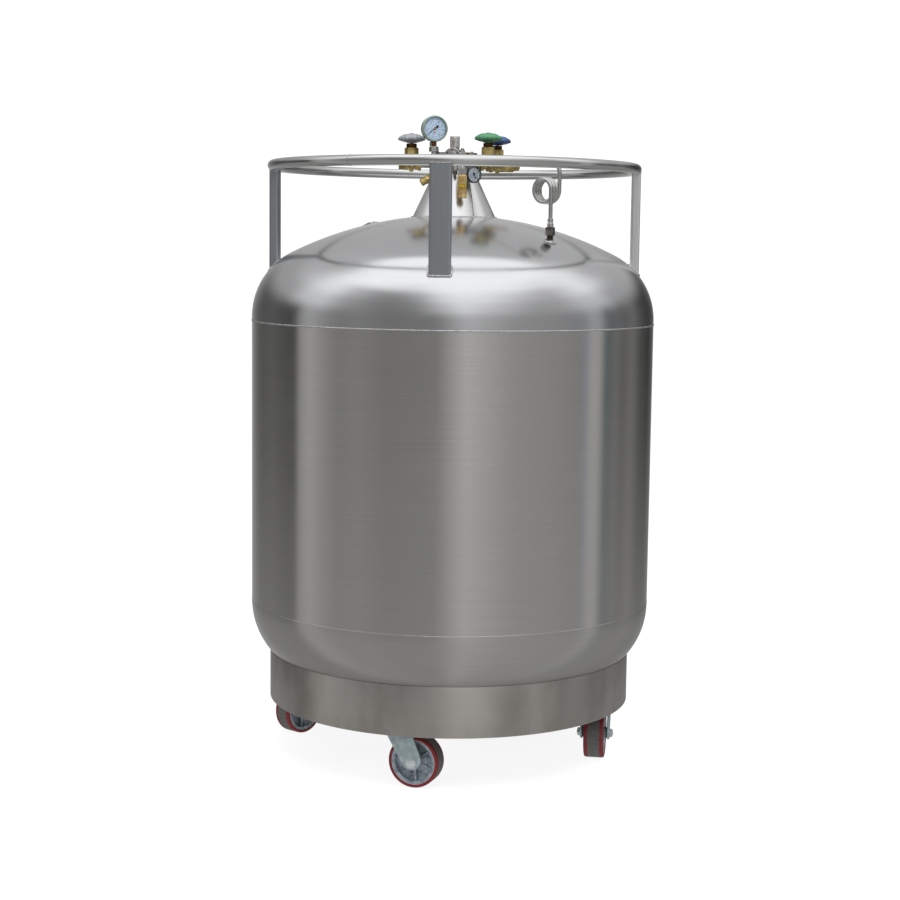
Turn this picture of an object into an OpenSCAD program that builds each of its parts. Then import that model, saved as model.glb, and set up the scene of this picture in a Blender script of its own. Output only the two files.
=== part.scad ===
// Self-pressurised liquid nitrogen tank of about 500 litres, on four swivel casters.
// Millimetres, +Z up, -Y is the front. The origin is on the floor, under the vessel's axis.

/* [Outer vessel] */
// Outside radius of the vacuum jacket
shell_r = 504; // [500:1:508]
// Wall of the jacket's cylinder
shell_t = 3; // [2:0.5:4]
// Height of the lower weld seam
seam_low = 387; // [380:1:392]
// Height of the upper weld seam
seam_up = 1088; // [1084:1:1090]
// Wall of the two dished ends
head_t = 4; // [3:0.5:5]
// Crown radius of the top end
crown_r = 896; // [890:1:900]
// Knuckle radius of the top end
knuckle_r = 180; // [175:1:185]
// Crown radius of the bottom end
low_crown_r = 1100; // [1080:10:1200]
// Knuckle radius of the bottom end
low_knuckle_r = 184; // [180:1:188]

/* [Skirt and casters] */
// Outside radius of the skirt
skirt_r = 457.4; // [450:0.2:465]
// Height of the skirt's lower edge
skirt_bottom = 135; // [130:1:140]
// Radius of the circle of caster swivel axes
caster_ring_r = 386; // [375:1:388]
// Overall height of a caster
caster_h = 165; // [160:1:170]
// Radius of the caster wheels
wheel_r = 62.5; // [60:0.5:63]
// Distance from the swivel axis to the wheel's axle
trail = 38; // [32:1:40]

/* [Handrail] */
// Radius of the rail's centre line
rail_r = 452.8; // [445:0.2:460]
// Height of the rail's centre line
rail_z = 1470.6; // [1465:0.2:1480]
// Radius of the rail's tube
rail_tube_r = 12.7; // [12:0.1:14]
// Turn of the four posts about the vessel's axis, degrees
post_turn = -3.9; // [-6:0.1:0]

/* [Neck] */
// Radius of the neck cone where it meets the top end
cone_base_r = 104; // [100:1:108]
// Radius of the collar above the cone
collar_r = 45; // [44:0.5:46]
// Height where the cone becomes the collar
collar_z = 1475; // [1470:1:1478]
// Height of the top of the collar
collar_top = 1500; // [1498:1:1502]

/* [Valves] */
// Height of the valves' pipe axis
valve_z = 1478; // [1477:1:1480]
// Radius of the handwheels
handwheel_r = 34.5; // [30:0.5:35]
// Radial clearance of running fits
run_clear = 0.05; // [0.02:0.01:0.1]

/* [Hidden] */
$fn = 96;
eps = 0.5;

// Dished ends: straight flange, knuckle arc and crown arc, tangent to each other.
flange_up = 9;
flange_low = 6;
function crown_drop(r, knuckle, crown) =
    crown - sqrt(pow(crown - knuckle, 2) - pow(r - knuckle, 2));
top_apex = seam_up + flange_up + crown_drop(shell_r, knuckle_r, crown_r);
low_apex = seam_low - flange_low - crown_drop(shell_r, low_knuckle_r, low_crown_r);

// Inner vessel and its insulation.
inner_r = 455;
inner_t = 4;
inner_low = 445;
inner_up = 1065;
inner_knuckle = 120;
inner_crown = 800;
blanket_t = 20;
inner_nadir = inner_low - crown_drop(inner_r, inner_knuckle, inner_crown);
neck_tube_r = 38;
neck_tube_t = 1.5;
support_r = 28;

// Neck and the pipes at its top.
cone_base_z = 1340;
cone_t = 3;
neck_hole_r = 60;
plate_r = 56.5;
plate_t = 8;
pipe_r = 8;
pipe_bore_r = 6;

// Valves: name, position of the spindle axis, bearing of the outlet.
valve_pos = [[-108, 0], [82, -65], [108, 65]];
function bearing(p) = atan2(p[1], p[0]);
barrel_r = 13.5;
barrel_in = 24;
barrel_out = 18;
outlet_r = 12.6;
outlet_len = 14;
coupling_r = 13;
coupling_len = 28;
nipple_r = 9.5;
nipple_len = 17;
valve_bore_r = 4;
seat_z = valve_z + 1;
chamber_r = 8.5;
hub_r = 14.5;
bonnet_z = 1500;
bonnet_top = 1520;
bonnet_hex_r = 17.6;
nut_top = 1530;
nut_hex_r = 13.2;
stem_r = 4;
disc_t = 5;
hub_bottom = 1531.5;
wheel_mid = 1541;
wheel_top = 1556;

// Pressure gauge on its socket, level gauge, relief valve, regulator, burst disc.
gauge_pos = [-52, -40];
socket_z = 1488;
socket_r = 8;
socket_hex_z = 1508.3;
socket_hex_h = 12;
gauge_z = 1564.6;
gauge_r = 32.3;
gauge_turn = 15;
gauge_depth = 28;
gauge_dial_r = 28;
level_z = 1453;
level_bearing = 33;
level_back = 80;
level_r = 21;
level_depth = 12;
level_dial_r = 18;
dial_t = 1;
lens_t = 1.5;
needle_pin_r = 1;
relief_pos = [19, -99];
relief_top = 1451;
relief_bottom = 1394;
relief_r = 11.7;
relief_bore_r = 7;
relief_seat_z = 1440;
relief_lip = 5;
relief_pipe_z = 1462;
relief_pipe_r = 6.5;
regulator_bearing = -5;
regulator_z = 1497.5;
regulator_pipe_z = 1490.5;
regulator_r = 20;
regulator_back = 60;
regulator_depth = 16;
burst_start = [-46, -18, 1453];
burst_aim = [-0.87, -0.12, -0.48];
burst_len = 43;

// Casters front, right, back and left: bearing of the swivel axis from the front and heading of
// the trail, in degrees.
caster_bearing = [-16.5, 78, 164.5, 252.5];
caster_heading = [-20, -99, 235, 229];
wheel_w = 50;
tyre_in_r = 55;
axle_r = 6;
fork_in = 31;
fork_t = 5;
crown_back = -24;
crown_front = 42;
fork_crown_z = 148;
fork_crown_t = 6;
swivel_pin_r = 8;
race_out_r = 32;
race_in_r = 24;
plate_thick = 4;
plate_size = [115, 95];
bolt_grid = [42, 34];
bolt_r = 5;
bolt_hole_r = 5.5;
pad_t = 10;

// Coil tube: foot on the top end, then up, three turns, up again and across to the pressure valve.
foot = [229, -243];
coil_tube_r = 5;
coil_r = 27.5;
coil_turns = 3;
coil_pitch = 10.8;
coil_bearing = 49;
coil_z = 1411.5;
coil_start_z = 1345;
elbow_r = 24;
fitting_z = 1279;
fitting_nut_z = 1305;
fitting_nut_h = 20;

// ---------- shared shapes ----------

// Half outline of a dished end over z = 0, filled to the axis.
module dished_outline(r, straight, knuckle, crown) {
    apex = straight + crown_drop(r, knuckle, crown);
    dx = r - knuckle;
    slope = sqrt(pow(crown - knuckle, 2) - dx * dx);
    tangent = [crown * dx / (crown - knuckle), apex - crown + crown * slope / (crown - knuckle)];
    past = 2 * (tangent - [dx, straight]);
    square([r, straight]);
    translate([dx, straight]) intersection() {
        circle(knuckle);
        polygon([[0, 0], [2 * knuckle, 0], [2 * knuckle, past[1]], past]);
    }
    intersection() {
        translate([0, apex - crown]) circle(crown);
        polygon([[0, 0], [dx, 0], [dx, straight], [dx, straight] + past, [0, apex + knuckle]]);
    }
}

module dished_solid(r, straight, knuckle, crown) {
    rotate_extrude($fn = 180) dished_outline(r, straight, knuckle, crown);
}

module dished_wall(r, straight, knuckle, crown, wall) {
    rotate_extrude($fn = 180) difference() {
        dished_outline(r, straight, knuckle, crown);
        translate([0, -wall / 4]) dished_outline(r - wall, straight + wall / 4, knuckle - wall, crown - wall);
    }
}

// The filled shape of the jacket's top end, grown by a wall thickness.
module top_head_solid(grow = 0) {
    translate([0, 0, seam_up])
        dished_solid(shell_r + grow, flange_up, knuckle_r + grow, crown_r + grow);
}

module bottom_head_solid(grow = 0) {
    translate([0, 0, seam_low]) mirror([0, 0, 1])
        dished_solid(shell_r + grow, flange_low, low_knuckle_r + grow, low_crown_r + grow);
}

// The filled shape of the inner vessel, grown by the insulation.
module inner_solid(grow = 0) {
    translate([0, 0, inner_low]) cylinder(h = inner_up - inner_low, r = inner_r + grow, $fn = 180);
    translate([0, 0, inner_up])
        dished_solid(inner_r + grow, 1, inner_knuckle + grow, inner_crown + grow);
    translate([0, 0, inner_low]) mirror([0, 0, 1])
        dished_solid(inner_r + grow, 1, inner_knuckle + grow, inner_crown + grow);
}

module hex_prism(r, h) {
    cylinder(h = h, r = r, $fn = 6);
}

module ring(r_out, r_in, h) {
    difference() {
        cylinder(h = h, r = r_out);
        translate([0, 0, -eps]) cylinder(h = h + 2 * eps, r = r_in);
    }
}

// A straight round bar between two points.
module bar(p, q, r) {
    v = q - p;
    len = norm(v);
    translate(p) rotate([0, acos(v[2] / len), atan2(v[1], v[0])]) cylinder(h = len, r = r);
}

// Lies along a bearing at a height: the child's +Z points outward from the vessel's axis.
module outward(angle, z, start) {
    rotate([0, 0, angle]) translate([start, 0, z]) rotate([0, 90, 0]) children();
}

// A round tube swept through points; side_dir is never parallel to the path.
function sweep_dir(pts, i) =
    let (a = pts[max(i - 1, 0)], b = pts[min(i + 1, len(pts) - 1)]) (b - a) / norm(b - a);
function unit(v) = v / norm(v);
module sweep(pts, r, sides, side_dir) {
    n = len(pts);
    rings = [for (i = [0 : n - 1])
        let (t = sweep_dir(pts, i), u = unit(cross(side_dir, t)), v = cross(t, u))
        for (k = [0 : sides - 1]) pts[i] + r * (cos(360 * k / sides) * u + sin(360 * k / sides) * v)];
    walls = [for (i = [0 : n - 2]) for (k = [0 : sides - 1])
        let (a = i * sides + k, b = i * sides + (k + 1) % sides)
        each [[a, a + sides, b + sides], [a, b + sides, b]]];
    first = [[for (k = [0 : sides - 1]) k]];
    last = [[for (k = [sides - 1 : -1 : 0]) (n - 1) * sides + k]];
    polyhedron(points = rings, faces = concat(walls, first, last), convexity = 10);
}

module neck_outer() {
    translate([0, 0, cone_base_z]) cylinder(h = collar_z - cone_base_z, r1 = cone_foot_r(), r2 = collar_r);
    translate([0, 0, collar_z]) cylinder(h = collar_top - collar_z, r = collar_r);
}

// The cone is drawn down to a level below its real foot, which the top end cuts.
cone_meet_z = top_apex - crown_r + sqrt(crown_r * crown_r - cone_base_r * cone_base_r);
function cone_foot_r() =
    cone_base_r + (cone_meet_z - cone_base_z) * (cone_base_r - collar_r) / (collar_z - cone_meet_z);

// ---------- vessel ----------

module weld_ring(z, r, bead) {
    translate([0, 0, z]) rotate_extrude($fn = 180) translate([r - bead, 0]) circle(2 * bead, $fn = 24);
}

module outer_shell() {
    color("silver") difference() {
        union() {
            translate([0, 0, seam_low])
                cylinder(h = seam_up - seam_low, r = shell_r, $fn = 180);
            intersection() {
                translate([0, 0, seam_low]) cylinder(h = seam_up - seam_low, r = shell_r + 5, $fn = 180);
                union() {
                    weld_ring(seam_low, shell_r, 0.8);
                    weld_ring(seam_up, shell_r, 1.5);
                }
            }
        }
        translate([0, 0, seam_low - eps])
            cylinder(h = seam_up - seam_low + 2 * eps, r = shell_r - shell_t, $fn = 180);
    }
}

module top_head() {
    color("gainsboro") difference() {
        translate([0, 0, seam_up]) dished_wall(shell_r, flange_up, knuckle_r, crown_r, head_t);
        translate([0, 0, seam_up]) cylinder(h = 400, r = neck_hole_r);
        translate([foot[0], foot[1], seam_up]) cylinder(h = 400, r = coil_tube_r + 1);
        pump_out_place() cylinder(h = 80, r = 8, center = true);
    }
}

module bottom_head() {
    color("silver") translate([0, 0, seam_low]) mirror([0, 0, 1])
        dished_wall(shell_r, flange_low, low_knuckle_r, low_crown_r, head_t);
}

module neck_cone() {
    color("gainsboro") difference() {
        neck_outer();
        translate([0, 0, cone_base_z - eps])
            cylinder(h = collar_z - cone_base_z + eps, r1 = cone_foot_r() - cone_t, r2 = collar_r - cone_t);
        translate([0, 0, collar_z - 0.01])
            cylinder(h = collar_top - collar_z + 1, r = collar_r - cone_t);
        top_head_solid();
        for (p = valve_pos) outward(bearing(p), valve_z, 0) cylinder(h = collar_r + 20, r = pipe_bore_r - 1);
    }
}

module neck_plate() {
    color("gray") translate([0, 0, collar_top]) difference() {
        cylinder(h = plate_t, r = plate_r);
        translate([0, 0, -eps]) cylinder(h = plate_t + 2 * eps, r = 7);
    }
}

module skirt() {
    color("darkgray") difference() {
        translate([0, 0, skirt_bottom]) cylinder(h = seam_low - skirt_bottom - 100, r = skirt_r, $fn = 180);
        translate([0, 0, skirt_bottom - eps]) cylinder(h = 200, r = skirt_r - 4, $fn = 180);
        bottom_head_solid();
    }
}

// Places children at every caster's swivel axis, +X outward.
module at_casters() {
    for (a = caster_bearing) rotate([0, 0, a - 90]) translate([caster_ring_r, 0, 0]) children();
}

module caster_pads() {
    pad_in = -54;
    color("dimgray") difference() {
        at_casters() difference() {
            union() {
                translate([pad_in, -55, caster_h]) cube([140, 110, pad_t]);
                for (s = [-50, 42]) translate([-30, s, caster_h + pad_t]) cube([110, 8, 14]);
            }
            for (x = [-1, 1], y = [-1, 1]) translate([x * bolt_grid[0], y * bolt_grid[1], 0])
                cylinder(h = 300, r = bolt_hole_r);
        }
        difference() {
            cylinder(h = 400, r = skirt_r + 100);
            translate([0, 0, -eps]) cylinder(h = 402, r = skirt_r - 4, $fn = 180);
        }
    }
}

module handrail() {
    color("silver") translate([0, 0, rail_z]) rotate_extrude($fn = 180) translate([rail_r, 0])
        difference() {
            circle(rail_tube_r, $fn = 48);
            circle(rail_tube_r - 1.5, $fn = 48);
        }
}

module posts() {
    post_w = 51;
    post_d = 22;
    wall = 2;
    foot_z = seam_up + 100;
    color("slategray") for (a = [0 : 90 : 270]) rotate([0, 0, a + post_turn - 90]) difference() {
        translate([rail_r - post_d / 2, -post_w / 2, foot_z]) cube([post_d, post_w, rail_z - 3 - foot_z]);
        translate([rail_r - post_d / 2 + wall, wall - post_w / 2, foot_z - eps])
            cube([post_d - 2 * wall, post_w - 2 * wall, rail_z - foot_z + 1]);
        top_head_solid(0.1);
        translate([0, 0, rail_z]) rotate_extrude($fn = 180) translate([rail_r, 0])
            circle(rail_tube_r, $fn = 48);
    }
}

module pump_out_place() {
    place = [-211, 100];
    z = top_apex - crown_r + sqrt(crown_r * crown_r - place * place);
    translate([place[0], place[1], z]) rotate([0, asin(norm(place) / crown_r), atan2(place[1], place[0])])
        children();
}

module pump_out_port() {
    color("silver") difference() {
        pump_out_place() {
            translate([0, 0, -2]) ring(16, 8, 7);
            translate([0, 0, 5]) cylinder(h = 3, r = 21);
            translate([0, 0, 8]) cylinder(h = 3, r = 12);
        }
        top_head_solid();
    }
}

// ---------- inside the jacket ----------

module inner_vessel() {
    color("lightsteelblue") difference() {
        inner_solid();
        inner_solid(-inner_t);
        translate([0, 0, inner_up]) cylinder(h = 400, r = neck_tube_r - neck_tube_t);
        riser_place() cylinder(h = 150, r = 5);
    }
}

module riser_place() {
    rotate([0, 0, -47]) translate([200, 0, 190]) children();
}

module insulation_blanket() {
    color("khaki") difference() {
        inner_solid(blanket_t);
        inner_solid();
        translate([0, 0, inner_up]) cylinder(h = 400, r = neck_tube_r);
        translate([0, 0, 100]) cylinder(h = 300, r = support_r);
        riser_place() cylinder(h = 150, r = 6);
        adsorbent_place();
    }
}

module neck_tube() {
    color("silver") difference() {
        translate([0, 0, inner_up]) ring(neck_tube_r, neck_tube_r - neck_tube_t, collar_top - inner_up);
        inner_solid();
    }
}

module bottom_support() {
    color("burlywood") difference() {
        translate([0, 0, low_apex]) ring(support_r, support_r - 4, 120);
        inner_solid();
        difference() {
            cylinder(h = 300, r = 60);
            bottom_head_solid(-head_t);
        }
    }
}

module adsorbent_place() {
    translate([-190, 0, inner_nadir - 12]) cylinder(h = 60, r = 50);
}

module adsorbent_box() {
    color("gray") difference() {
        adsorbent_place();
        inner_solid();
    }
}

module dip_tube() {
    color("silver") translate([16, 0, inner_nadir + 15]) ring(8, 6.5, collar_top - inner_nadir - 15);
}

module level_probe() {
    color("gray") translate([-14, 8, inner_nadir + 25]) cylinder(h = collar_top - inner_nadir - 25, r = 7);
}

// A tube that runs back and forth inside the jacket wall, from the vessel's bottom to the top end.
module pressure_building_coil() {
    run_r = shell_r - shell_t - 6.5;
    tube_r = 6;
    riser_r = 5;
    gap_deg = 8;
    levels = [500, 620, 740, 860, 980];
    low_end = [run_r * cos(gap_deg), run_r * sin(gap_deg), 406];
    low_bend = [380, 0, 240];
    color("silver") difference() {
        rotate([0, 0, -47]) {
            for (z = levels) translate([0, 0, z]) rotate([0, 0, gap_deg])
                rotate_extrude(angle = 360 - 2 * gap_deg, $fn = 180) translate([run_r, 0])
                    circle(tube_r, $fn = 24);
            for (i = [0 : len(levels) - 2])
                rotate([0, 0, (i % 2 == 0 ? -1 : 1) * (gap_deg + 0.4)])
                    translate([run_r, 0, levels[i] - riser_r])
                        cylinder(h = levels[i + 1] - levels[i] + 2 * riser_r, r = riser_r);
            rotate([0, 0, gap_deg + 0.4]) translate([run_r, 0, 400])
                cylinder(h = levels[0] - 396, r = riser_r);
            rotate([0, 0, -gap_deg - 0.4]) translate([run_r, 0, levels[4] - 4])
                cylinder(h = 114, r = riser_r);
            bar([196, 0, 188], low_bend, riser_r - 0.5);
            translate(low_bend) sphere(riser_r + 1.2);
            bar(low_bend, low_end, riser_r - 0.3);
            translate([200, 0, 186]) cylinder(h = 100, r = riser_r - 0.2);
        }
        inner_solid();
    }
}

// ---------- valves ----------

// The liquid valve carries a coupling and a nipple on its outlet.
module valve_body(coupled) {
    outlet_end = barrel_out + (coupled ? coupling_len + nipple_len : outlet_len);
    difference() {
        union() {
            translate([-barrel_in, 0, valve_z]) rotate([0, 90, 0]) {
                cylinder(h = barrel_in + barrel_out, r = barrel_r);
                hex_prism(barrel_r + 1.5, 9);
            }
            translate([barrel_out, 0, valve_z]) rotate([0, 90, 0])
                if (coupled) {
                    cylinder(h = coupling_len, r = coupling_r);
                    cylinder(h = coupling_len + nipple_len, r = nipple_r);
                } else cylinder(h = outlet_len, r = outlet_r);
            translate([0, 0, valve_z - 10]) cylinder(h = bonnet_z - valve_z + 10, r = hub_r);
            translate([0, 0, valve_z - 17.5]) cylinder(h = 10, r = 5);
        }
        translate([-barrel_in - eps, 0, valve_z - 4]) rotate([0, 90, 0])
            cylinder(h = barrel_in + valve_bore_r, r = valve_bore_r);
        translate([0, 0, valve_z - 4]) cylinder(h = 6, r = valve_bore_r);
        translate([0, 0, valve_z + 5]) rotate([0, 90, 0])
            cylinder(h = outlet_end + eps, r = valve_bore_r);
        translate([0, 0, seat_z]) cylinder(h = 40, r = chamber_r);
    }
}

module at_valve(i) {
    translate([valve_pos[i][0], valve_pos[i][1], 0]) rotate([0, 0, bearing(valve_pos[i])]) children();
}

module valve_bodies() {
    color("darkgoldenrod") for (i = [0 : 2]) at_valve(i) valve_body(i == 2);
}

module valve_bonnets() {
    color("goldenrod") for (i = [0 : 2]) at_valve(i) difference() {
        union() {
            translate([0, 0, bonnet_z]) hex_prism(bonnet_hex_r, bonnet_top - bonnet_z);
            translate([0, 0, bonnet_z - 6]) cylinder(h = 7, r = chamber_r);
        }
        translate([0, 0, bonnet_z - 7]) cylinder(h = 60, r = stem_r + run_clear);
    }
}

module packing_nuts() {
    color("saddlebrown") for (i = [0 : 2]) at_valve(i) translate([0, 0, bonnet_top]) difference() {
        hex_prism(nut_hex_r, nut_top - bonnet_top);
        translate([0, 0, -eps]) cylinder(h = 20, r = stem_r + run_clear);
    }
}

module stem(i) {
    color("silver") at_valve(i) {
        translate([0, 0, seat_z + disc_t]) cylinder(h = wheel_top - 3 - seat_z - disc_t, r = stem_r);
        translate([0, 0, wheel_top - 3]) hex_prism(6, 2.5);
    }
}

module seat_disc(i) {
    color("white") at_valve(i) translate([0, 0, seat_z]) cylinder(h = disc_t, r = chamber_r - 1);
}

// A lens-shaped handwheel with a scalloped rim.
module handwheel(i, tint) {
    lobes = 16;
    color(tint) at_valve(i) difference() {
        rotate_extrude() polygon([
            [0, hub_bottom], [13, hub_bottom], [20, hub_bottom + 2], [30, wheel_mid - 7],
            [handwheel_r - 1, wheel_mid - 3], [handwheel_r, wheel_mid],
            [handwheel_r - 1.5, wheel_mid + 4], [27, wheel_mid + 8], [14, wheel_top - 2],
            [8, wheel_top - 3], [0, wheel_top - 3]
        ]);
        for (k = [0 : lobes - 1]) rotate([0, 0, 360 * (k + 0.5) / lobes])
            translate([handwheel_r + 2.7, 0, hub_bottom - eps]) cylinder(h = 40, r = 4.5, $fn = 24);
        translate([0, 0, hub_bottom - eps]) cylinder(h = 60, r = stem_r);
    }
}

// ---------- neck fittings ----------

module fill_port() {
    base = collar_top + plate_t;
    color("silver") {
        translate([0, 0, base]) difference() {
            union() {
                hex_prism(16, 8);
                cylinder(h = 18, r = 11.5);
                translate([0, 0, 14]) cylinder(h = 27, r = 13.3);
            }
            translate([0, 0, -eps]) cylinder(h = 60, r = 7);
        }
        translate([19, 0, base]) {
            hex_prism(6.5, 7);
            cylinder(h = 12, r = 4.5);
        }
    }
}

module manifold_pipes() {
    color("silver") difference() {
        union() {
            for (p = valve_pos) outward(bearing(p), valve_z, 30)
                cylinder(h = norm(p) - barrel_in - 30, r = pipe_r);
            translate([relief_pos[0], -30, relief_pipe_z]) rotate([90, 0, 0])
                cylinder(h = -relief_pos[1] - 30, r = relief_pipe_r);
            translate([relief_pos[0], relief_pos[1], relief_top]) rotate([0, 0, 30]) hex_prism(11, 22);
            translate([relief_pos[0], relief_pos[1], relief_seat_z])
                cylinder(h = relief_top - relief_seat_z + 1, r = relief_bore_r - run_clear);
            outward(level_bearing - 90, level_z, 30) cylinder(h = level_back - 30, r = 6);
            outward(regulator_bearing - 90, regulator_pipe_z, 30) cylinder(h = regulator_back - 30, r = 6.5);
        }
        neck_outer();
        for (p = valve_pos) outward(bearing(p), valve_z, 30)
            cylinder(h = norm(p) - barrel_in, r = pipe_bore_r - 1);
        translate([relief_pos[0], relief_pos[1], relief_seat_z - eps]) cylinder(h = 25, r = 4);
    }
}

module gauge_socket() {
    reach = norm(gauge_pos);
    color("silver") difference() {
        union() {
            outward(bearing(gauge_pos), socket_z, 30) cylinder(h = reach - 30, r = socket_r - 1.5);
            translate([gauge_pos[0], gauge_pos[1], socket_z - 7])
                cylinder(h = socket_hex_z - socket_z + 8, r = socket_r);
            translate([gauge_pos[0], gauge_pos[1], socket_hex_z]) {
                hex_prism(socket_r + 4, socket_hex_h);
                cylinder(h = socket_hex_h + 13, r = socket_r - 2.5);
            }
        }
        neck_outer();
        at_gauge() cylinder(h = gauge_depth, r = gauge_r, center = true);
    }
}

// Child's +Z points out of the pressure gauge's face.
module at_gauge() {
    translate([gauge_pos[0], gauge_pos[1], gauge_z]) rotate([0, 0, gauge_turn]) rotate([90, 0, 0]) children();
}

// Child's +Z points out of the level gauge's face, from the back of its case.
module at_level() {
    outward(level_bearing - 90, level_z, level_back) children();
}

module gauge_case() {
    face = gauge_depth / 2;
    color("darkseagreen") at_gauge() difference() {
        union() {
            translate([0, 0, -face]) cylinder(h = gauge_depth, r = gauge_r - 1);
            translate([0, 0, face - 8]) cylinder(h = 8, r = gauge_r);
        }
        translate([0, 0, face - 7]) cylinder(h = 8, r = gauge_dial_r);
        translate([0, 0, face - 20]) cylinder(h = 20, r = needle_pin_r + run_clear);
    }
}

module level_case() {
    color("dimgray") at_level() difference() {
        cylinder(h = level_depth, r = level_r);
        translate([0, 0, level_depth - 6]) cylinder(h = 8, r = level_dial_r);
        translate([0, 0, 2]) cylinder(h = 20, r = needle_pin_r + run_clear);
    }
}

module gauge_dials() {
    color("white") {
        at_gauge() translate([0, 0, gauge_depth / 2 - 7])
            ring(gauge_dial_r, needle_pin_r + run_clear, dial_t);
        at_level() translate([0, 0, level_depth - 6]) ring(level_dial_r, needle_pin_r + run_clear, dial_t);
    }
}

module gauge_lenses() {
    color("lightcyan", 0.4) {
        at_gauge() translate([0, 0, gauge_depth / 2 - 2]) cylinder(h = lens_t, r = gauge_dial_r);
        at_level() translate([0, 0, level_depth - 2]) cylinder(h = lens_t, r = level_dial_r);
    }
}

// A pointer: a pin into the movement, a hub, a blade and a counterweight.
module pointer(length, tail, pin_len) {
    translate([0, 0, -pin_len]) cylinder(h = pin_len + 1, r = needle_pin_r);
    cylinder(h = 1.2, r = 3);
    linear_extrude(0.8) polygon([[0, -1.1], [length, -0.4], [length, 0.4], [0, 1.1]]);
    translate([-tail, -1.6, 0]) cube([tail, 3.2, 0.8]);
}

module gauge_needle() {
    color("black") at_gauge() translate([0, 0, gauge_depth / 2 - 5.2]) rotate([0, 0, 217]) pointer(21, 10, 9);
}

module level_needle() {
    color("black") at_level() translate([0, 0, level_depth - 4.2]) rotate([0, 0, -60]) pointer(13, 5, 4);
}

module relief_body() {
    color("peru") translate([relief_pos[0], relief_pos[1], 0]) difference() {
        union() {
            translate([0, 0, relief_bottom + 2]) cylinder(h = relief_top - relief_bottom - 2, r = relief_r);
            translate([0, 0, relief_bottom]) cylinder(h = 3, r = relief_r - 1.2);
        }
        translate([0, 0, relief_bottom + relief_lip]) cylinder(h = 100, r = relief_bore_r);
        translate([0, 0, relief_bottom - eps]) cylinder(h = 20, r = 3.5);
    }
}

module relief_poppet() {
    color("silver") translate([relief_pos[0], relief_pos[1], 0]) {
        translate([0, 0, relief_seat_z - 5]) cylinder(h = 5, r = relief_bore_r - 0.6);
        translate([0, 0, relief_seat_z - 24]) cylinder(h = 20, r = 2.4);
    }
}

module relief_spring() {
    wire = 0.8;
    low = relief_bottom + relief_lip + wire;
    high = relief_seat_z - 5 - wire;
    turns = 6;
    steps = 16;
    mean_r = 4.6;
    helix = [for (i = [0 : turns * steps]) let (a = 360 * i / steps)
        [mean_r * cos(a), mean_r * sin(a), low + (high - low) * i / (turns * steps)]];
    color("gray") translate([relief_pos[0], relief_pos[1], 0]) sweep(helix, wire, 6, [0, 0, 1]);
}

module regulator_housing() {
    color("silver") outward(regulator_bearing - 90, regulator_z, regulator_back) difference() {
        union() {
            cylinder(h = regulator_depth, r = regulator_r - 3);
            translate([0, 0, 4]) cylinder(h = regulator_depth - 4, r = regulator_r);
        }
        translate([0, 0, regulator_depth - 3]) cylinder(h = 8, r = regulator_r - 4);
    }
    color("silver") translate([2, -68, regulator_z - 45.5]) {
        cylinder(h = 12, r = 5.5);
        translate([0, 0, 10]) hex_prism(7, 19);
    }
}

module burst_disc_holder() {
    body_r = 9.4;
    color("darkgoldenrod") difference() {
        union() {
            bar(burst_start, burst_start + burst_len * burst_aim, body_r);
            bar(burst_start + 20 * burst_aim, burst_start + 30 * burst_aim, body_r + 1.6);
        }
        neck_outer();
        bar(burst_start + 31 * burst_aim, burst_start + 60 * burst_aim, body_r - 3.4);
    }
}

// ---------- coil tube ----------

// Horizontal directions of the coil: along its axis, and from its axis to the rising tube.
coil_axis = [cos(coil_bearing), sin(coil_bearing), 0];
coil_side = [sin(coil_bearing), -cos(coil_bearing), 0];
up = [0, 0, 1];
coil_centre = [foot[0], foot[1], coil_z] - coil_r * coil_side;
coil_steps = 24;
coil_end = coil_centre + coil_r * coil_side + coil_turns * coil_pitch * coil_axis;
outlet_dir = unit([valve_pos[1][0], valve_pos[1][1], 0]);
outlet_face = [valve_pos[1][0], valve_pos[1][1], valve_z] + (barrel_out + outlet_len) * outlet_dir;
run_bend = outlet_face + 30 * outlet_dir;
run_dir = unit([run_bend[0] - coil_end[0], run_bend[1] - coil_end[1], 0]);
elbow_start = [coil_end[0], coil_end[1], valve_z - elbow_r];
coil_path = concat(
    [[foot[0], foot[1], coil_start_z], [foot[0], foot[1], coil_z - 15]],
    [for (i = [0 : coil_turns * coil_steps]) let (a = 360 * i / coil_steps)
        coil_centre + coil_r * (cos(a) * coil_side + sin(a) * up)
        + coil_pitch * i / coil_steps * coil_axis],
    [elbow_start],
    [for (a = [15 : 15 : 90]) elbow_start + elbow_r * (1 - cos(a)) * run_dir + elbow_r * sin(a) * up],
    [run_bend, outlet_face]
);

module coil_tube() {
    color("silver") sweep(coil_path, coil_tube_r, 10, coil_axis);
}

module tube_fitting() {
    color("silver") difference() {
        translate([foot[0], foot[1], 0]) {
            translate([0, 0, fitting_z]) cylinder(h = 18, r = 11);
            translate([0, 0, fitting_z + 17]) cylinder(h = 12, r = 7.5);
            translate([0, 0, fitting_nut_z]) {
                hex_prism(13.2, fitting_nut_h);
                translate([0, 0, fitting_nut_h])
                    cylinder(h = coil_start_z - fitting_nut_z - fitting_nut_h, r1 = 9, r2 = 6.2);
            }
        }
        top_head_solid();
    }
    color("silver") outward(bearing(valve_pos[1]), valve_z, norm(outlet_face - [0, 0, valve_z]))
        difference() {
            translate([0, 0, -8]) hex_prism(17, 20);
            translate([0, 0, -8 - eps]) cylinder(h = 8 + eps, r = outlet_r);
            cylinder(h = 30, r = coil_tube_r);
        }
}

// ---------- casters ----------

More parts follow.
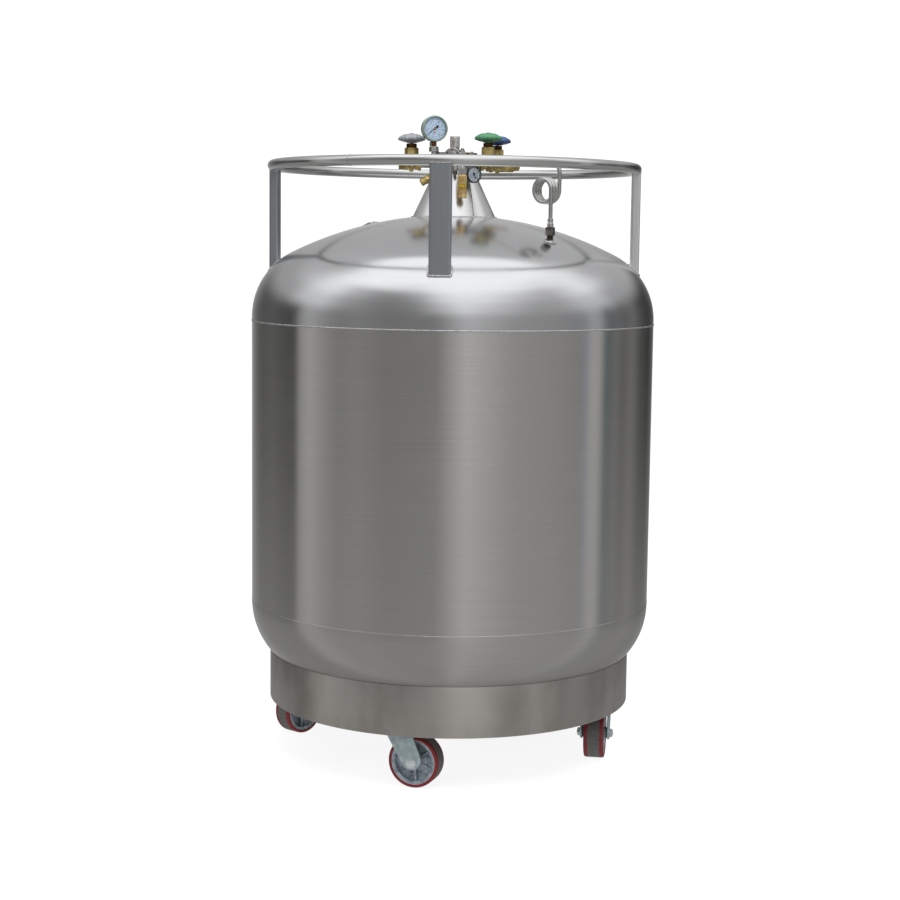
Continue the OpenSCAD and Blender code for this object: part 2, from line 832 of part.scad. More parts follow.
module caster_plates() {
    color("lightgray") at_casters() difference() {
        union() {
            translate([-plate_size[0] / 2, -plate_size[1] / 2, caster_h - plate_thick])
                cube([plate_size[0], plate_size[1], plate_thick]);
            translate([0, 0, fork_crown_z - 5]) cylinder(h = caster_h - fork_crown_z + 3, r = swivel_pin_r);
            translate([0, 0, fork_crown_z - 8]) cylinder(h = 7.9, r = 14);
        }
        for (x = [-1, 1], y = [-1, 1]) translate([x * bolt_grid[0], y * bolt_grid[1], 0])
            cylinder(h = 300, r = bolt_hole_r);
    }
}

module caster_bolts() {
    grip = plate_thick + pad_t;
    color("gray") at_casters() for (x = [-1, 1], y = [-1, 1])
        translate([x * bolt_grid[0], y * bolt_grid[1], caster_h - plate_thick]) {
            translate([0, 0, -6]) hex_prism(9, 6);
            cylinder(h = grip + 10, r = bolt_r);
            translate([0, 0, grip]) hex_prism(8, 6);
        }
}

// Frame of one caster: +X along the trail, Z up, Y along the axle.
module at_caster(i) {
    rotate([0, 0, caster_bearing[i] - 90]) translate([caster_ring_r, 0, 0])
        rotate([0, 0, caster_heading[i] - caster_bearing[i] + 90]) children();
}

module fork_leg() {
    end_r = 19;
    rotate([90, 0, 0]) linear_extrude(fork_t) difference() {
        union() {
            polygon([[crown_back, fork_crown_z + fork_crown_t], [crown_front, fork_crown_z + fork_crown_t],
                [crown_front, fork_crown_z - 22], [trail + end_r, wheel_r], [trail - end_r * 0.8, wheel_r - 9]]);
            translate([trail, wheel_r]) circle(end_r);
        }
        translate([trail, wheel_r]) circle(axle_r);
    }
}

module fork(i) {
    color("lightsteelblue") at_caster(i) {
        difference() {
            union() {
                for (y = [fork_in + fork_t, -fork_in]) translate([0, y, 0]) fork_leg();
                translate([crown_back, -fork_in - 0.01, fork_crown_z])
                    cube([crown_front - crown_back, 2 * fork_in + 0.02, fork_crown_t]);
                translate([0, 0, fork_crown_z + fork_crown_t - 0.01])
                    ring(race_out_r, race_in_r, caster_h - plate_thick - fork_crown_z - fork_crown_t - 0.1);
            }
            translate([0, 0, 100]) cylinder(h = 100, r = swivel_pin_r + run_clear);
        }
        translate([trail, 0, wheel_r]) rotate([90, 0, 0]) {
            cylinder(h = 2 * (fork_in + fork_t) + 20, r = axle_r, center = true);
            translate([0, 0, fork_in + fork_t]) hex_prism(10, 7);
            translate([0, 0, -fork_in - fork_t - 7]) hex_prism(10, 7);
        }
    }
}

module at_wheel(i) {
    at_caster(i) translate([trail, 0, wheel_r]) rotate([90, 0, 0]) children();
}

module wheel_core(i) {
    rim_w = 42;
    rim_in = 48;
    hub_out = 15;
    color("slategray") at_wheel(i) difference() {
        union() {
            translate([0, 0, -rim_w / 2]) ring(tyre_in_r, rim_in, rim_w);
            translate([0, 0, -4]) cylinder(h = 8, r = rim_in + 1);
            translate([0, 0, 1 - fork_in]) cylinder(h = 2 * (fork_in - 1), r = hub_out);
            for (a = [0 : 60 : 300]) rotate([0, 0, a])
                translate([0, -2, -rim_w / 2 + 4]) cube([rim_in + 1, 4, rim_w - 8]);
        }
        translate([0, 0, -wheel_w]) cylinder(h = 2 * wheel_w, r = axle_r + run_clear);
    }
}

module tyre(i) {
    edge = 3;
    color("firebrick") at_wheel(i) rotate_extrude() polygon([
        [tyre_in_r, -wheel_w / 2 + 1], [wheel_r - edge, -wheel_w / 2], [wheel_r, -wheel_w / 2 + edge],
        [wheel_r, wheel_w / 2 - edge], [wheel_r - edge, wheel_w / 2], [tyre_in_r, wheel_w / 2 - 1]
    ]);
}

outer_shell();
top_head();
bottom_head();
neck_cone();
neck_plate();
skirt();
caster_pads();
handrail();
posts();
pump_out_port();
inner_vessel();
insulation_blanket();
neck_tube();
bottom_support();
adsorbent_box();
dip_tube();
level_probe();
pressure_building_coil();
valve_bodies();
valve_bonnets();
packing_nuts();
stem(0);  // stem_vent
stem(1);  // stem_pressure
stem(2);  // stem_liquid
handwheel(0, "darkgray");  // handwheel_vent
handwheel(1, "seagreen");  // handwheel_pressure
handwheel(2, "royalblue");  // handwheel_liquid
seat_disc(0);  // seat_disc_vent
seat_disc(1);  // seat_disc_pressure
seat_disc(2);  // seat_disc_liquid
fill_port();
manifold_pipes();
gauge_socket();
gauge_case();
gauge_needle();
level_case();
level_needle();
gauge_dials();
gauge_lenses();
relief_body();
relief_spring();
relief_poppet();
regulator_housing();
burst_disc_holder();
coil_tube();
tube_fitting();
caster_plates();
caster_bolts();
fork(0);  // fork_front
fork(1);  // fork_right
fork(2);  // fork_back
fork(3);  // fork_left
wheel_core(0);  // wheel_core_front
wheel_core(1);  // wheel_core_right
wheel_core(2);  // wheel_core_back
wheel_core(3);  // wheel_core_left
tyre(0);  // tyre_front
tyre(1);  // tyre_right
tyre(2);  // tyre_back
tyre(3);  // tyre_left
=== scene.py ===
"""Looks for the self-pressurised liquid nitrogen tank: finished pieces, materials, light and camera."""

import math

import bmesh
import bpy
from mathutils import Matrix, Vector, noise


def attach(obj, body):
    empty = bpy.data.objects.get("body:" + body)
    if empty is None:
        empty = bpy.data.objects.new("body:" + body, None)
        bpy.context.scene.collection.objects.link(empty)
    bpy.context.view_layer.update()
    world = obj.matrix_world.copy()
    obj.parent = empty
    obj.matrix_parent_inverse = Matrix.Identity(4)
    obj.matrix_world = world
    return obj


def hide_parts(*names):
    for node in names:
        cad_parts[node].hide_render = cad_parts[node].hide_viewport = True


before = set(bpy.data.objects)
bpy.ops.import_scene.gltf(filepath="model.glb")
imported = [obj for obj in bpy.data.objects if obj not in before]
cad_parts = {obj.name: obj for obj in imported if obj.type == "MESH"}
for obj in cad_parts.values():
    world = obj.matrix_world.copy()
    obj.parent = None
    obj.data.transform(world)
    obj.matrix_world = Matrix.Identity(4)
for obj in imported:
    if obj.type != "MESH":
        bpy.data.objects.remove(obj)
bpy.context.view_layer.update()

# ---------------------------------------------------------------- sizes from the CAD, in millimetres
MM = 0.001
SHELL_R, SEAM_LOW, SEAM_UP, HEAD_T = 504.0, 387.0, 1088.0, 4.0
CROWN_R, KNUCKLE_R, FLANGE_UP = 896.0, 180.0, 9.0
LOW_CROWN_R, LOW_KNUCKLE_R, FLANGE_LOW = 1100.0, 184.0, 6.0
SKIRT_R, SKIRT_T, SKIRT_BOTTOM = 457.4, 4.0, 135.0
RAIL_R, RAIL_Z, RAIL_TUBE_R = 452.8, 1470.6, 12.7
POST_TURN, POST_W, POST_D, POST_CORNER = -3.9, 51.0, 22.0, 3.5
CONE_BASE_R, COLLAR_R, COLLAR_Z, COLLAR_TOP, CONE_T = 104.0, 45.0, 1475.0, 1500.0, 3.0
NECK_HOLE_R = 60.0
PLATE_R, PLATE_T = 56.5, 8.0
VALVES = {"vent": (-108.0, 0.0), "pressure": (82.0, -65.0), "liquid": (108.0, 65.0)}
VALVE_Z, BONNET_Z, BONNET_TOP, NUT_TOP = 1478.0, 1500.0, 1520.0, 1530.0
HUB_BOTTOM, WHEEL_MID, WHEEL_TOP, HANDWHEEL_R, STEM_TOP = 1531.5, 1541.0, 1556.0, 34.5, 1553.0
BARREL_R, BARREL_IN, BARREL_OUT, OUTLET_R, OUTLET_LEN = 13.5, 24.0, 18.0, 12.6, 14.0
COUPLING_R, COUPLING_LEN, NIPPLE_R, NIPPLE_LEN = 13.0, 28.0, 9.5, 17.0
GAUGE_POS, GAUGE_Z, GAUGE_R, GAUGE_TURN, GAUGE_DEPTH = (-52.0, -40.0), 1564.6, 32.3, 15.0, 28.0
GAUGE_DIAL_R = 28.0
SOCKET_Z, SOCKET_R, SOCKET_HEX_Z, SOCKET_HEX_H = 1488.0, 8.0, 1508.3, 12.0
LEVEL_Z, LEVEL_BEARING, LEVEL_BACK, LEVEL_R, LEVEL_DEPTH, LEVEL_DIAL_R = 1453.0, 33.0, 80.0, 21.0, 12.0, 18.0
RELIEF_POS, RELIEF_TOP, RELIEF_BOTTOM, RELIEF_R = (19.0, -99.0), 1451.0, 1394.0, 11.7
RELIEF_PIPE_Z, RELIEF_PIPE_R = 1462.0, 6.5
REG_BEARING, REG_Z, REG_PIPE_Z, REG_R, REG_BACK, REG_DEPTH = -5.0, 1497.5, 1490.5, 20.0, 60.0, 16.0
BURST_START, BURST_AIM, BURST_LEN = (-46.0, -18.0, 1453.0), (-0.87, -0.12, -0.48), 43.0
PUMP_PLACE = (-211.0, 100.0)
CASTER_RING_R, CASTER_WHEEL_R, TRAIL = 386.0, 62.5, 38.0
CASTERS = {"front": (-16.5, -20.0), "right": (78.0, -99.0), "back": (164.5, 235.0), "left": (252.5, 229.0)}
WHEEL_W, TYRE_IN_R, AXLE_R, FORK_IN, FORK_T, FORK_CROWN_Z, FORK_CROWN_T = 50.0, 55.0, 6.0, 31.0, 5.0, 148.0, 6.0
CROWN_BACK, CROWN_FRONT = -24.0, 42.0
FOOT, COIL_TUBE_R, COIL_R, COIL_TURNS, COIL_PITCH = (229.0, -243.0), 5.0, 27.5, 3, 10.8
COIL_BEARING, COIL_Z, COIL_START_Z, ELBOW_R, FITTING_Z = 49.0, 1411.5, 1345.0, 24.0, 1279.0
FITTING_NUT_Z, FITTING_NUT_H = 1305.0, 20.0


def drop(r, knuckle, crown):
    return crown - math.sqrt((crown - knuckle) ** 2 - (r - knuckle) ** 2)


TOP_APEX = SEAM_UP + FLANGE_UP + drop(SHELL_R, KNUCKLE_R, CROWN_R)


def dome_z(r):
    """Height of the top end's surface at a radius."""
    split = CROWN_R * (SHELL_R - KNUCKLE_R) / (CROWN_R - KNUCKLE_R)
    if r <= split:
        return TOP_APEX - CROWN_R + math.sqrt(CROWN_R**2 - r**2)
    out = min(r - (SHELL_R - KNUCKLE_R), KNUCKLE_R)
    return SEAM_UP + FLANGE_UP + math.sqrt(KNUCKLE_R**2 - out**2)


# ---------------------------------------------------------------- node graphs


class Graph:
    """A node tree built from calls; each call returns an output socket."""

    def __init__(self, tree):
        self.tree = tree
        tree.nodes.clear()

    def add(self, kind, ins=None, out=0, **props):
        node = self.tree.nodes.new("ShaderNode" + kind)
        for key, value in props.items():
            setattr(node, key, value)
        for key, value in (ins or {}).items():
            if isinstance(value, bpy.types.NodeSocket):
                self.tree.links.new(value, node.inputs[key])
            else:
                node.inputs[key].default_value = value
        return node.outputs[out] if len(node.outputs) else node

    def math(self, op, a, b=0.0):
        return self.add("Math", {0: a, 1: b}, operation=op)

    def mix(self, fac, a, b):
        return self.add("Mix", {0: fac, 6: a, 7: b}, out=2, data_type="RGBA")

    def noise(self, vec, scale=1.0, detail=2.0, rough=0.5, distort=0.0):
        ins = {"Vector": vec, "Scale": scale, "Detail": detail, "Roughness": rough, "Distortion": distort}
        return self.add("TexNoise", ins)

    def ramp(self, fac, stops):
        node = self.tree.nodes.new("ShaderNodeValToRGB")
        ramp = node.color_ramp
        ramp.interpolation = "LINEAR"
        while len(ramp.elements) < len(stops):
            ramp.elements.new(0.5)
        for element, (place, value) in zip(ramp.elements, stops):
            element.position = place
        for element, (place, value) in zip(ramp.elements, stops):
            element.color = value if len(value) == 4 else (*value, 1.0)
        self.tree.links.new(fac, node.inputs[0])
        return node.outputs[0]

    def range(self, value, a, b, c=0.0, d=1.0):
        ins = {"Value": value, "From Min": a, "From Max": b, "To Min": c, "To Max": d}
        return self.add("MapRange", ins, interpolation_type="SMOOTHSTEP")

    def xyz(self, vec):
        node = self.tree.nodes.new("ShaderNodeSeparateXYZ")
        self.tree.links.new(vec, node.inputs[0])
        return node.outputs

    def vec(self, x, y, z):
        return self.add("CombineXYZ", {0: x, 1: y, 2: z})

    def here(self):
        return self.add("TexCoord", out="Object")

    def bump(self, height, strength, depth):
        return self.add("Bump", {"Height": height, "Strength": strength, "Distance": depth})


def srgb(r, g, b):
    return tuple((c / 255 / 12.92 if c < 10.3 else ((c / 255 + 0.055) / 1.055) ** 2.4) for c in (r, g, b)) + (1.0,)


def grey(v):
    return (v, v, v, 1.0)


def shader(name, build):
    """A material whose build function returns the Principled inputs."""
    material = bpy.data.materials.new(name)
    material.use_nodes = True
    g = Graph(material.node_tree)
    ins = build(g)
    surface = g.add("BsdfPrincipled", ins)
    g.add("OutputMaterial", {"Surface": surface})
    return material


def brush_vector(g, way, along, across):
    """Coordinates for brushing: 'round' runs round local Z, otherwise along the named axis."""
    x, y, z = g.xyz(g.here())
    if way == "round":
        turn = g.math("ARCTAN2", y, x)
        out = g.add("VectorMath", {0: g.vec(x, y, 0.0)}, out="Value", operation="LENGTH")
        return g.vec(
            g.math("MULTIPLY", turn, along * 0.5), g.math("MULTIPLY", out, across), g.math("MULTIPLY", z, across),
        )
    scale = {axis: (along if axis == way else across) for axis in "XYZ"}
    return g.vec(*(g.math("MULTIPLY", v, scale[axis]) for v, axis in zip((x, y, z), "XYZ")))


def steel(
    name, color, rough, way="round", aniso=0.0, grain=0.05, shade=0.08, smudge=0.05, along=9.0, across=1400.0,
    extra=None,
):
    """Stainless steel with brushing in two sizes, soft handling marks and a fine bump."""

    def build(g):
        fine = g.noise(brush_vector(g, way, along, across), detail=2.0, rough=0.6)
        wide = g.noise(brush_vector(g, way, along * 0.4, across * 0.12), detail=3.0, rough=0.6)
        marks = g.noise(g.here(), scale=6.0, detail=4.0, rough=0.6, distort=0.4)
        lines = g.math("ADD", g.math("MULTIPLY", fine, 0.55), g.math("MULTIPLY", wide, 0.45))
        dark = tuple(c * (1 - shade) for c in color[:3]) + (1.0,)
        light = tuple(min(1.0, c * (1 + shade)) for c in color[:3]) + (1.0,)
        tone = g.mix(g.range(lines, 0.3, 0.7), dark, light)
        roughness = g.math("ADD", rough - smudge / 2, g.math("MULTIPLY", g.range(marks, 0.35, 0.7), smudge))
        roughness = g.math("ADD", roughness, g.math("MULTIPLY", g.math("SUBTRACT", lines, 0.5), grain))
        ins = {
            "Base Color": tone,
            "Metallic": 1.0,
            "Roughness": roughness,
            "Normal": g.bump(lines, 0.25, 0.00004),
        }
        if aniso:
            ins["Anisotropic"] = aniso
            ins["Anisotropic Rotation"] = 0.25 if way == "round" else 0.0
            ins["Tangent"] = g.add("Tangent", direction_type="RADIAL", axis="Z")
        if extra:
            extra(g, ins)
        return ins

    return shader(name, build)


def cast_metal(name, high, low, rough, lumps=0.25, metallic=1.0, scale=900.0):
    """Cast or turned metal: painted shade in its recesses from an occlusion pass, which on the brasses stands also
    for patina; mottled, with a fine grain.
    """

    def build(g):
        blotch = g.noise(g.here(), scale=60.0, detail=5.0, rough=0.65)
        grain = g.noise(g.here(), scale=scale, detail=3.0)
        occlusion_shade = g.add("AmbientOcclusion", {"Distance": 0.006}, out="AO", samples=4)
        # The mix leans to the low colour with random mottling and with the painted shade in recesses.
        mixed = g.math("MULTIPLY", g.range(blotch, 0.3, 0.72), g.range(occlusion_shade, 0.3, 0.95))
        return {
            "Base Color": g.mix(mixed, low, high),
            "Metallic": metallic,
            "Roughness": g.range(blotch, 0.3, 0.7, rough + 0.08, rough - 0.06),
            "Normal": g.bump(grain, lumps, 0.00012),
        }

    return shader(name, build)


def enamel(name, color, dark, worn, rough=0.42):
    """Painted casting: orange peel, painted shade in its recesses from an occlusion pass, and bare metal showing on
    worn edges.
    """

    def build(g):
        blotch = g.noise(g.here(), scale=70.0, detail=4.0, rough=0.6)
        peel = g.noise(g.here(), scale=700.0, detail=2.0)
        edge = g.add("NewGeometry", out="Pointiness")
        occlusion_shade = g.add("AmbientOcclusion", {"Distance": 0.008}, out="AO", samples=4)
        chips = g.math("MULTIPLY", g.range(edge, 0.53, 0.6), g.range(blotch, 0.48, 0.62))
        tone = g.mix(g.range(blotch, 0.3, 0.75), color, tuple(min(1, c * 1.25) for c in color[:3]) + (1.0,))
        # Painted shade: recesses fade to the dark colour.
        tone = g.mix(g.range(occlusion_shade, 0.35, 0.9), dark, tone)
        return {
            "Base Color": g.mix(chips, tone, worn),
            "Metallic": g.math("MULTIPLY", chips, 0.9),
            "Roughness": g.range(blotch, 0.3, 0.7, rough - 0.05, rough + 0.1),
            "Coat Weight": 0.25,
            "Coat Roughness": 0.3,
            "Normal": g.bump(peel, 0.3, 0.0002),
        }

    return shader(name, build)


def plain(name, color, rough, metallic=0.0, vary=0.12, scale=90.0, grain=600.0, lumps=0.15, **more):
    """A plastic, wrap or paint with slight mottling and grain."""

    def build(g):
        blotch = g.noise(g.here(), scale=scale, detail=4.0, rough=0.6)
        dark = tuple(c * (1 - vary) for c in color[:3]) + (1.0,)
        light = tuple(min(1.0, c * (1 + vary)) for c in color[:3]) + (1.0,)
        ins = {
            "Base Color": g.mix(g.range(blotch, 0.3, 0.7), dark, light),
            "Metallic": metallic,
            "Roughness": g.range(blotch, 0.3, 0.7, rough - 0.05, rough + 0.05),
            "Normal": g.bump(g.noise(g.here(), scale=grain, detail=2.0), lumps, 0.0001),
        }
        ins.update(more)
        return ins

    return shader(name, build)


def weld_steel(name, color, rough=0.3):
    """A weld bead: bright ripples with straw and blue heat tints."""

    def build(g):
        heat = g.noise(g.here(), scale=180.0, detail=3.0, rough=0.6)
        tone = g.ramp(
            heat,
            [(0.3, (0.46, 0.44, 0.50)), (0.45, color[:3]), (0.62, (0.78, 0.77, 0.75)), (0.75, (0.62, 0.52, 0.40))],
        )
        return {
            "Base Color": tone,
            "Metallic": 1.0,
            "Roughness": g.range(heat, 0.3, 0.7, rough + 0.12, rough - 0.06),
            "Normal": g.bump(g.noise(g.here(), scale=900.0), 0.3, 0.0002),
        }

    return shader(name, build)


def rubber_tyre():
    """Dark red polyurethane with a grey worn band round the tread, by distance along the axle."""

    def build(g):
        x, y, z = g.xyz(g.here())
        out = g.add("VectorMath", {0: g.vec(x, y, 0.0)}, out="Value", operation="LENGTH")
        ragged = g.math("MULTIPLY", g.math("SUBTRACT", g.noise(g.here(), scale=120.0, detail=4.0), 0.5), 0.008)
        band = g.range(g.math("ADD", g.math("ABSOLUTE", z), ragged), 0.0125, 0.0165, 1.0, 0.0)
        tread = g.range(out, 0.0605, 0.0618)
        dirt = g.noise(g.here(), scale=260.0, detail=5.0, rough=0.7)
        red = g.mix(g.range(dirt, 0.35, 0.75), srgb(98, 18, 26), srgb(130, 30, 34))
        worn = g.mix(g.range(dirt, 0.3, 0.7), srgb(66, 66, 64), srgb(96, 95, 91))
        return {
            "Base Color": g.mix(g.math("MULTIPLY", band, tread), red, worn),
            "Roughness": g.range(dirt, 0.3, 0.7, 0.42, 0.6),
            "Subsurface Weight": 0.04,
            "Subsurface Scale": 0.002,
            "Subsurface Radius": (1.0, 0.2, 0.1),
            "Normal": g.bump(dirt, 0.25, 0.0004),
        }

    return shader("tyre_polyurethane", build)


def glass():
    material = bpy.data.materials.new("lens_clear_glass")
    material.use_nodes = True
    g = Graph(material.node_tree)
    smear = g.noise(g.here(), scale=120.0, detail=3.0)
    gloss = g.add("BsdfGlossy", {"Color": grey(0.95), "Roughness": g.range(smear, 0.3, 0.7, 0.03, 0.1)})
    clear = g.add("BsdfTransparent", {"Color": (0.955, 0.975, 0.985, 1.0)})
    facing = g.add("LayerWeight", {"Blend": 0.16}, out="Fresnel")
    mixed = g.add("MixShader", {0: g.math("ADD", g.math("MULTIPLY", facing, 0.7), 0.03), 1: clear, 2: gloss})
    g.add("OutputMaterial", {"Surface": mixed})
    return material


def skirt_extra(g, ins):
    """The sheet's colour shifts in soft upright patches, and it is duller than the vessel."""
    x, y, z = g.xyz(g.here())
    turn = g.math("ARCTAN2", y, x)
    patch = g.noise(g.vec(g.math("MULTIPLY", turn, 3.0), 0.0, g.math("MULTIPLY", z, 3.0)), detail=3.0)
    ins["Base Color"] = g.mix(g.range(patch, 0.38, 0.66), ins["Base Color"], (0.45, 0.425, 0.395, 1.0))


MAT = {
    "shell": steel(
        "shell_brushed", (0.62, 0.61, 0.595), 0.19, aniso=0.86, grain=0.03, shade=0.035, smudge=0.04, across=2600.0,
    ),
    "head": steel(
        "head_polished", (0.64, 0.645, 0.655), 0.20, aniso=0.3, grain=0.02, shade=0.02, smudge=0.04, across=2600.0,
    ),
    "low_head": steel(
        "low_head_brushed", (0.60, 0.59, 0.575), 0.24, aniso=0.7, grain=0.03, shade=0.04, across=2200.0,
    ),
    "skirt": steel("skirt_sheet", (0.62, 0.59, 0.56), 0.34, aniso=0.6, shade=0.05, extra=skirt_extra),
    "ground_weld": steel("ground_weld", (0.62, 0.60, 0.58), 0.42, way="X", shade=0.06, along=60.0),
    "rail": steel(
        "rail_tube", (0.62, 0.62, 0.615), 0.15, way="round", grain=0.03, shade=0.04, along=40.0, across=900.0,
    ),
    # The rail posts are one steel in two copies: this darker, bluish one has shade painted in, and the near-white
    # one next paints light onto a single post.
    "post": steel("post_tube", (0.42, 0.44, 0.47), 0.40, way="Z", shade=0.05),
    "post_bright": steel("post_tube_bright", (0.84, 0.84, 0.84), 0.36, way="Z", shade=0.03),
    "cone": steel("cone_brushed", (0.77, 0.77, 0.78), 0.28, aniso=0.5, shade=0.03, grain=0.03, across=2400.0),
    "turned": steel("turned_steel", (0.66, 0.65, 0.63), 0.24, shade=0.06, along=4.0, across=2200.0),
    "tube": steel("coil_tube_steel", (0.58, 0.575, 0.565), 0.27, way="X", shade=0.08, along=200.0, across=600.0),
    # Cast metals: the second colour shows in random mottling and as painted shade in recesses.
    "dark_nut": cast_metal("dark_nut", (0.34, 0.32, 0.30, 1), (0.08, 0.07, 0.06, 1), 0.34),
    "weld": weld_steel("weld_bead", (0.56, 0.555, 0.545, 1.0)),
    "brass": cast_metal("valve_brass", srgb(216, 196, 128), srgb(136, 114, 66), 0.32, metallic=0.8),
    "dark_brass": cast_metal("packing_brass", srgb(96, 64, 36), srgb(26, 17, 10), 0.42),
    "relief_brass": cast_metal("relief_brass", srgb(206, 182, 130), srgb(136, 108, 64), 0.28, metallic=0.45),
    "relief_copper": cast_metal("relief_copper", srgb(204, 176, 126), srgb(138, 108, 68), 0.30, metallic=0.4),
    "yellow_band": cast_metal("relief_band", srgb(226, 196, 70), srgb(160, 126, 40), 0.3, metallic=0.4),
    "copper": cast_metal("gauge_shank", srgb(196, 122, 84), srgb(96, 48, 28), 0.32),
    # Wheel paints: the second colour is painted shade in recesses, the third bare metal on worn edges.
    "wheel_vent": enamel("wheel_paint_grey", srgb(108, 111, 114), srgb(50, 52, 54), (0.36, 0.36, 0.37, 1)),
    "wheel_pressure": enamel("wheel_paint_green", srgb(48, 98, 66), srgb(16, 40, 26), (0.22, 0.34, 0.26, 1)),
    "wheel_liquid": enamel("wheel_paint_blue", srgb(32, 54, 94), srgb(12, 20, 38), (0.26, 0.32, 0.42, 1)),
    "gauge_enamel": plain("gauge_case_enamel", srgb(122, 138, 126), 0.34, metallic=0.35, lumps=0.1),
    "dark_enamel": plain("level_case_enamel", srgb(58, 58, 60), 0.4, metallic=0.3),
    "black": plain("needle_black", (0.012, 0.012, 0.013), 0.45),
    "red": plain("dial_red", srgb(196, 44, 34), 0.5),
    "ink": plain("dial_ink", (0.12, 0.14, 0.19), 0.6),
    "dial": plain("dial_card", srgb(178, 192, 210), 0.55, vary=0.03, lumps=0.04),
    "level_dial": plain("level_card_grey", srgb(186, 188, 192), 0.5, vary=0.06, lumps=0.04),
    "amber": plain("pointer_amber", srgb(214, 130, 60), 0.45),
    "seat": plain("seat_plastic", (0.80, 0.79, 0.74), 0.5),
    "laminate": plain("glass_laminate", srgb(168, 158, 110), 0.6),
    "wrap": plain("insulation_wrap", (0.74, 0.74, 0.75), 0.3, metallic=0.8, lumps=0.6, grain=60.0),
    "zinc": cast_metal("zinc_plate", srgb(188, 202, 206), srgb(150, 166, 170), 0.40, lumps=0.1, metallic=0.6),
    "bolt_head": cast_metal("bolt_head", srgb(230, 236, 238), srgb(176, 184, 186), 0.26, lumps=0.08, metallic=0.5),
    # The fork zinc again, darker: painted shade for the race under the crown plate.
    "zinc_painted_shade": cast_metal("zinc_shaded", srgb(140, 150, 152), srgb(60, 66, 68), 0.42, lumps=0.15),
    "iron": cast_metal(
        "core_cast_iron", srgb(172, 182, 192), srgb(104, 112, 120), 0.5, lumps=1.0, metallic=0.35, scale=420.0,
    ),
    "tyre": rubber_tyre(),
    "lens": glass(),
}

# ---------------------------------------------------------------- mesh helpers


def finish_piece(obj, mat, body="vessel", slot=None, cad=None, place=None, sharp=32.0):
    """Shades, paints, places and rides one new piece. place shifts in millimetres; cad is the node it stands for."""
    mesh = obj.data
    bm = bmesh.new()
    bm.from_mesh(mesh)
    bmesh.ops.remove_doubles(bm, verts=bm.verts, dist=1e-7)
    bmesh.ops.recalc_face_normals(bm, faces=bm.faces)
    bm.to_mesh(mesh)
    bm.free()
    mesh.polygons.foreach_set("use_smooth", [True] * len(mesh.polygons))
    mesh.set_sharp_from_angle(angle=math.radians(sharp))
    mesh.materials.clear()
    mesh.materials.append(MAT[mat])
    if place is not None:
        obj.matrix_world = metres(place)
    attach(obj, body)
    if cad:
        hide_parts(cad)
    return obj


def mesh_object(name, verts, faces):
    """A mesh object from points in millimetres."""
    mesh = bpy.data.meshes.new(name)
    mesh.from_pydata([tuple(c * MM for c in v) for v in verts], [], faces)
    obj = bpy.data.objects.new(name, mesh)
    bpy.context.scene.collection.objects.link(obj)
    return obj


def piece(name, data, mat, **more):
    """One new piece from (points in millimetres, faces)."""
    return finish_piece(mesh_object(name, *data), mat, **more)


def lathe_data(profile, segments=64, closed=True, wave=None):
    """A profile of (radius, height) turned round Z; a closed one is a loop or starts and ends on the axis."""
    verts, rows = [], []
    for k, (r, z) in enumerate(profile):
        if r < 1e-6:
            rows.append([len(verts)] * segments)
            verts.append((0.0, 0.0, z))
            continue
        row = []
        for i in range(segments):
            a = 2 * math.pi * i / segments
            rr, zz = wave(k, a, r, z) if wave else (r, z)
            row.append(len(verts))
            verts.append((rr * math.cos(a), rr * math.sin(a), zz))
        rows.append(row)
    faces = []
    last = len(rows) if closed and profile[0][0] > 1e-6 else len(rows) - 1
    for j in range(last):
        a, b = rows[j], rows[(j + 1) % len(rows)]
        for i in range(segments):
            n = (i + 1) % segments
            loop = list(dict.fromkeys((a[i], a[n], b[n], b[i])))
            if len(loop) > 2:
                faces.append(loop)
    return verts, faces


def plate_outline(w, d, corner, steps=6):
    """A rectangle with rounded corners, round the origin."""
    out = []
    for sx, sy, start in ((1, 1, 0), (-1, 1, 90), (-1, -1, 180), (1, -1, 270)):
        cx, cy = sx * (w / 2 - corner), sy * (d / 2 - corner)
        for k in range(steps + 1):
            a = math.radians(start + 90 * k / steps)
            out.append((cx + corner * math.cos(a), cy + corner * math.sin(a)))
    return out


def stacked(rows, loop=False):
    """Points and faces of a skin over rings of equal length, capped at both ends or closed into a loop."""
    verts = [p for row in rows for p in row]
    size, count = len(rows[0]), len(rows)
    faces = []
    for j in range(count if loop else count - 1):
        k = (j + 1) % count
        for i in range(size):
            n = (i + 1) % size
            faces.append([j * size + i, j * size + n, k * size + n, k * size + i])
    if not loop:
        faces.append(list(range(size))[::-1])
        faces.append([(count - 1) * size + i for i in range(size)])
    return verts, faces


def soften(points, radius, steps=3, loop=False):
    """Rounds the corners of a profile of (radius, height) points."""
    out, n = [], len(points)
    for i, p in enumerate(points):
        if not loop and i in (0, n - 1):
            out.append(p)
            continue
        p, a, b = Vector(p), Vector(points[i - 1]), Vector(points[(i + 1) % n])
        da, db = a - p, b - p
        if da.length < 1e-6 or db.length < 1e-6:
            out.append(tuple(p))
            continue
        cut = min(radius, da.length * 0.45, db.length * 0.45)
        s, e = p + da.normalized() * cut, p + db.normalized() * cut
        for k in range(steps + 1):
            t = k / steps
            q = s.lerp(p, t).lerp(p.lerp(e, t), t)
            out.append((max(q.x, 0.0), q.y))
    return out


def round_data(profile, soft, segments=24, steps=3, loop=False):
    return lathe_data(soften(profile, soft, steps, loop), segments)


def lathe(name, profile, mat, segments=64, soft=0.0, steps=3, wave=None, loop=False, **more):
    if soft:
        profile = soften(profile, soft, steps, loop)
    return piece(name, lathe_data(profile, segments, wave=wave), mat, **more)


